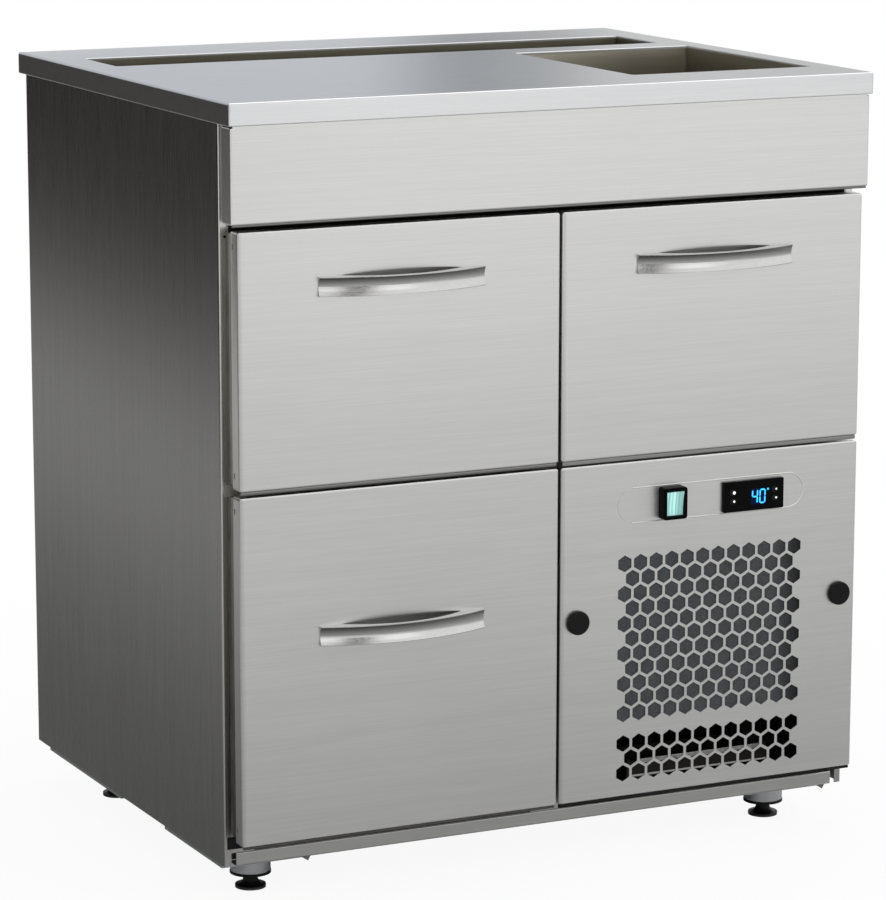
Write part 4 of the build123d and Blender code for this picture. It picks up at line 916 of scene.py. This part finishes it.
def light_world():
    """White surroundings for the eye and for reflections, softer light for the rest."""
    world = bpy.data.worlds.new("studio")
    bpy.context.scene.world = world
    world.use_nodes = True
    tree = world.node_tree
    background = tree.nodes["Background"]
    path = tree.nodes.new("ShaderNodeLightPath")
    seen = combine(tree, "MAXIMUM", path.outputs["Is Camera Ray"], path.outputs["Is Glossy Ray"])
    seen_too = combine(tree, "MAXIMUM", seen, path.outputs["Is Transmission Ray"])
    tree.links.new(spread(tree, seen_too, WORLD_LIGHT, 1.0, 0, 1), background.inputs["Strength"])
    background.inputs["Color"].default_value = (*WHITE, 1)


def soft_light(name, place, target, size, power):
    """A large soft lamp; polished metal shows the screens instead of the lamp."""
    light = bpy.data.lights.new(name, "AREA")
    light.shape = "RECTANGLE"
    light.size, light.size_y = size
    light.energy = power
    lamp = bpy.data.objects.new(name, light)
    lamp.location = place
    lamp.visible_glossy = False
    lamp.rotation_euler = (Vector(target) - Vector(place)).to_track_quat("-Z", "Y").to_euler()
    bpy.context.scene.collection.objects.link(lamp)


def level_corners(left, right, front, back, z):
    """The corners of a level screen."""
    return [(left, front, z), (right, front, z), (right, back, z), (left, back, z)]


def upright_corners(left, right, y, low, high):
    """The corners of an upright screen that faces the front or the back."""
    return [(left, y, low), (right, y, low), (right, y, high), (left, y, high)]


def sideways_corners(x, front, back, low, high):
    """The corners of an upright screen that faces a side."""
    return [(x, front, low), (x, back, low), (x, back, high), (x, front, high)]


def graded_card(name, corners, axis, reach, tones):
    """A screen that only reflections see, as studios use to shade polished metal.

    Its tone runs from reach[0] to reach[1] metres along an axis, through tones given as (share, colour).
    """
    material, tree, shader = start_material(name)
    ramp = tree.nodes.new("ShaderNodeValToRGB")
    glow = tree.nodes.new("ShaderNodeEmission")
    tree.links.new(spread(tree, position(tree, axis), 0, 1, *reach), ramp.inputs["Fac"])
    ramp.color_ramp.interpolation = "EASE"
    while len(ramp.color_ramp.elements) < len(tones):
        ramp.color_ramp.elements.new(0.5)
    for element, (share, colour) in zip(ramp.color_ramp.elements, tones):
        element.position = share
        element.color = (*colour, 1)
    tree.links.new(ramp.outputs["Color"], glow.inputs["Color"])
    tree.links.new(glow.outputs["Emission"], tree.nodes["Material Output"].inputs["Surface"])
    tree.nodes.remove(shader)
    mesh = bmesh.new()
    mesh.faces.new([mesh.verts.new(corner) for corner in corners])
    card = place_mesh(name, mesh, material)
    card.visible_camera = False
    card.visible_diffuse = False
    card.visible_shadow = False


def place_cards():
    """Shade the fronts from light above to dark below, the left side dark and the top in soft bands."""
    front_floor = level_corners(left=-4, right=6, front=-6, back=CARD_FRONT, z=CARD_LIFT)
    front_tones = [(0.0, grey(1.12)), (0.40, grey(0.70)), (0.72, grey(0.575)), (1.0, grey(0.42))]
    graded_card("front_floor_card", front_floor, "Y", (-4.8, CARD_FRONT), front_tones)
    left_floor = level_corners(left=-1.4, right=CARD_LEFT, front=CARD_FRONT, back=4, z=CARD_LIFT)
    left_floor_tones = [(0, grey(0.40)), (1, grey(0.19))]
    graded_card("left_floor_card", left_floor, "X", (-1.4, CARD_LEFT), left_floor_tones)
    left_wall = sideways_corners(x=-1.0, front=-0.6, back=9.0, low=0.0, high=3.0)
    left_tones = [(0.0, grey(0.44)), (0.19, grey(0.64)), (0.48, (0.046, 0.040, 0.034)), (1.0, grey(0.013))]
    graded_card("left_wall_card", left_wall, "Z", (0.0, 1.0), left_tones)
    back_wall = upright_corners(left=-2, right=3, y=0.60, low=0.93, high=2.4)
    back_tones = [
        (0.0, (0.60, 0.62, 0.655)), (0.32, (0.61, 0.63, 0.66)), (0.48, (0.31, 0.325, 0.345)),
        (0.56, (0.39, 0.405, 0.42)), (0.70, grey(0.70)), (1.0, grey(0.62)),
    ]
    graded_card("back_wall_card", back_wall, "X", (-0.2, 0.9), back_tones)
    screen = upright_corners(left=-0.76, right=-0.05, y=-2.8, low=0.3, high=6.0)
    graded_card("front_screen_card", screen, "Z", (0.3, 6.0), [(0, grey(0.05)), (1, grey(0.05))])
    far_wall = upright_corners(left=-3, right=7, y=-6.2, low=0.0, high=3.5)
    graded_card("front_far_card", far_wall, "X", (1.8, 3.8), [(0, grey(1.34)), (1, grey(0.94))])
    overhead = level_corners(left=-2, right=3, front=-0.8, back=2.2, z=3.4)
    graded_card("overhead_card", overhead, "Y", (-0.8, 2.2), [(0, grey(2.1)), (1, grey(2.1))])


def set_camera():
    """The photograph's camera."""
    data = bpy.data.cameras.new("camera")
    data.lens = CAMERA_LENS
    data.sensor_width = CAMERA_SENSOR
    data.clip_end = CAMERA_REACH
    camera = bpy.data.objects.new("camera", data)
    camera.location = CAMERA_PLACE
    camera.rotation_euler = [math.radians(angle) for angle in CAMERA_TURN]
    bpy.context.scene.collection.objects.link(camera)
    bpy.context.scene.camera = camera


lay_floor()
light_world()
for name, settings in SOFT_LIGHTS.items():
    soft_light(name, *settings)
place_cards()
set_camera()
bpy.context.scene.view_settings.view_transform = "Standard"
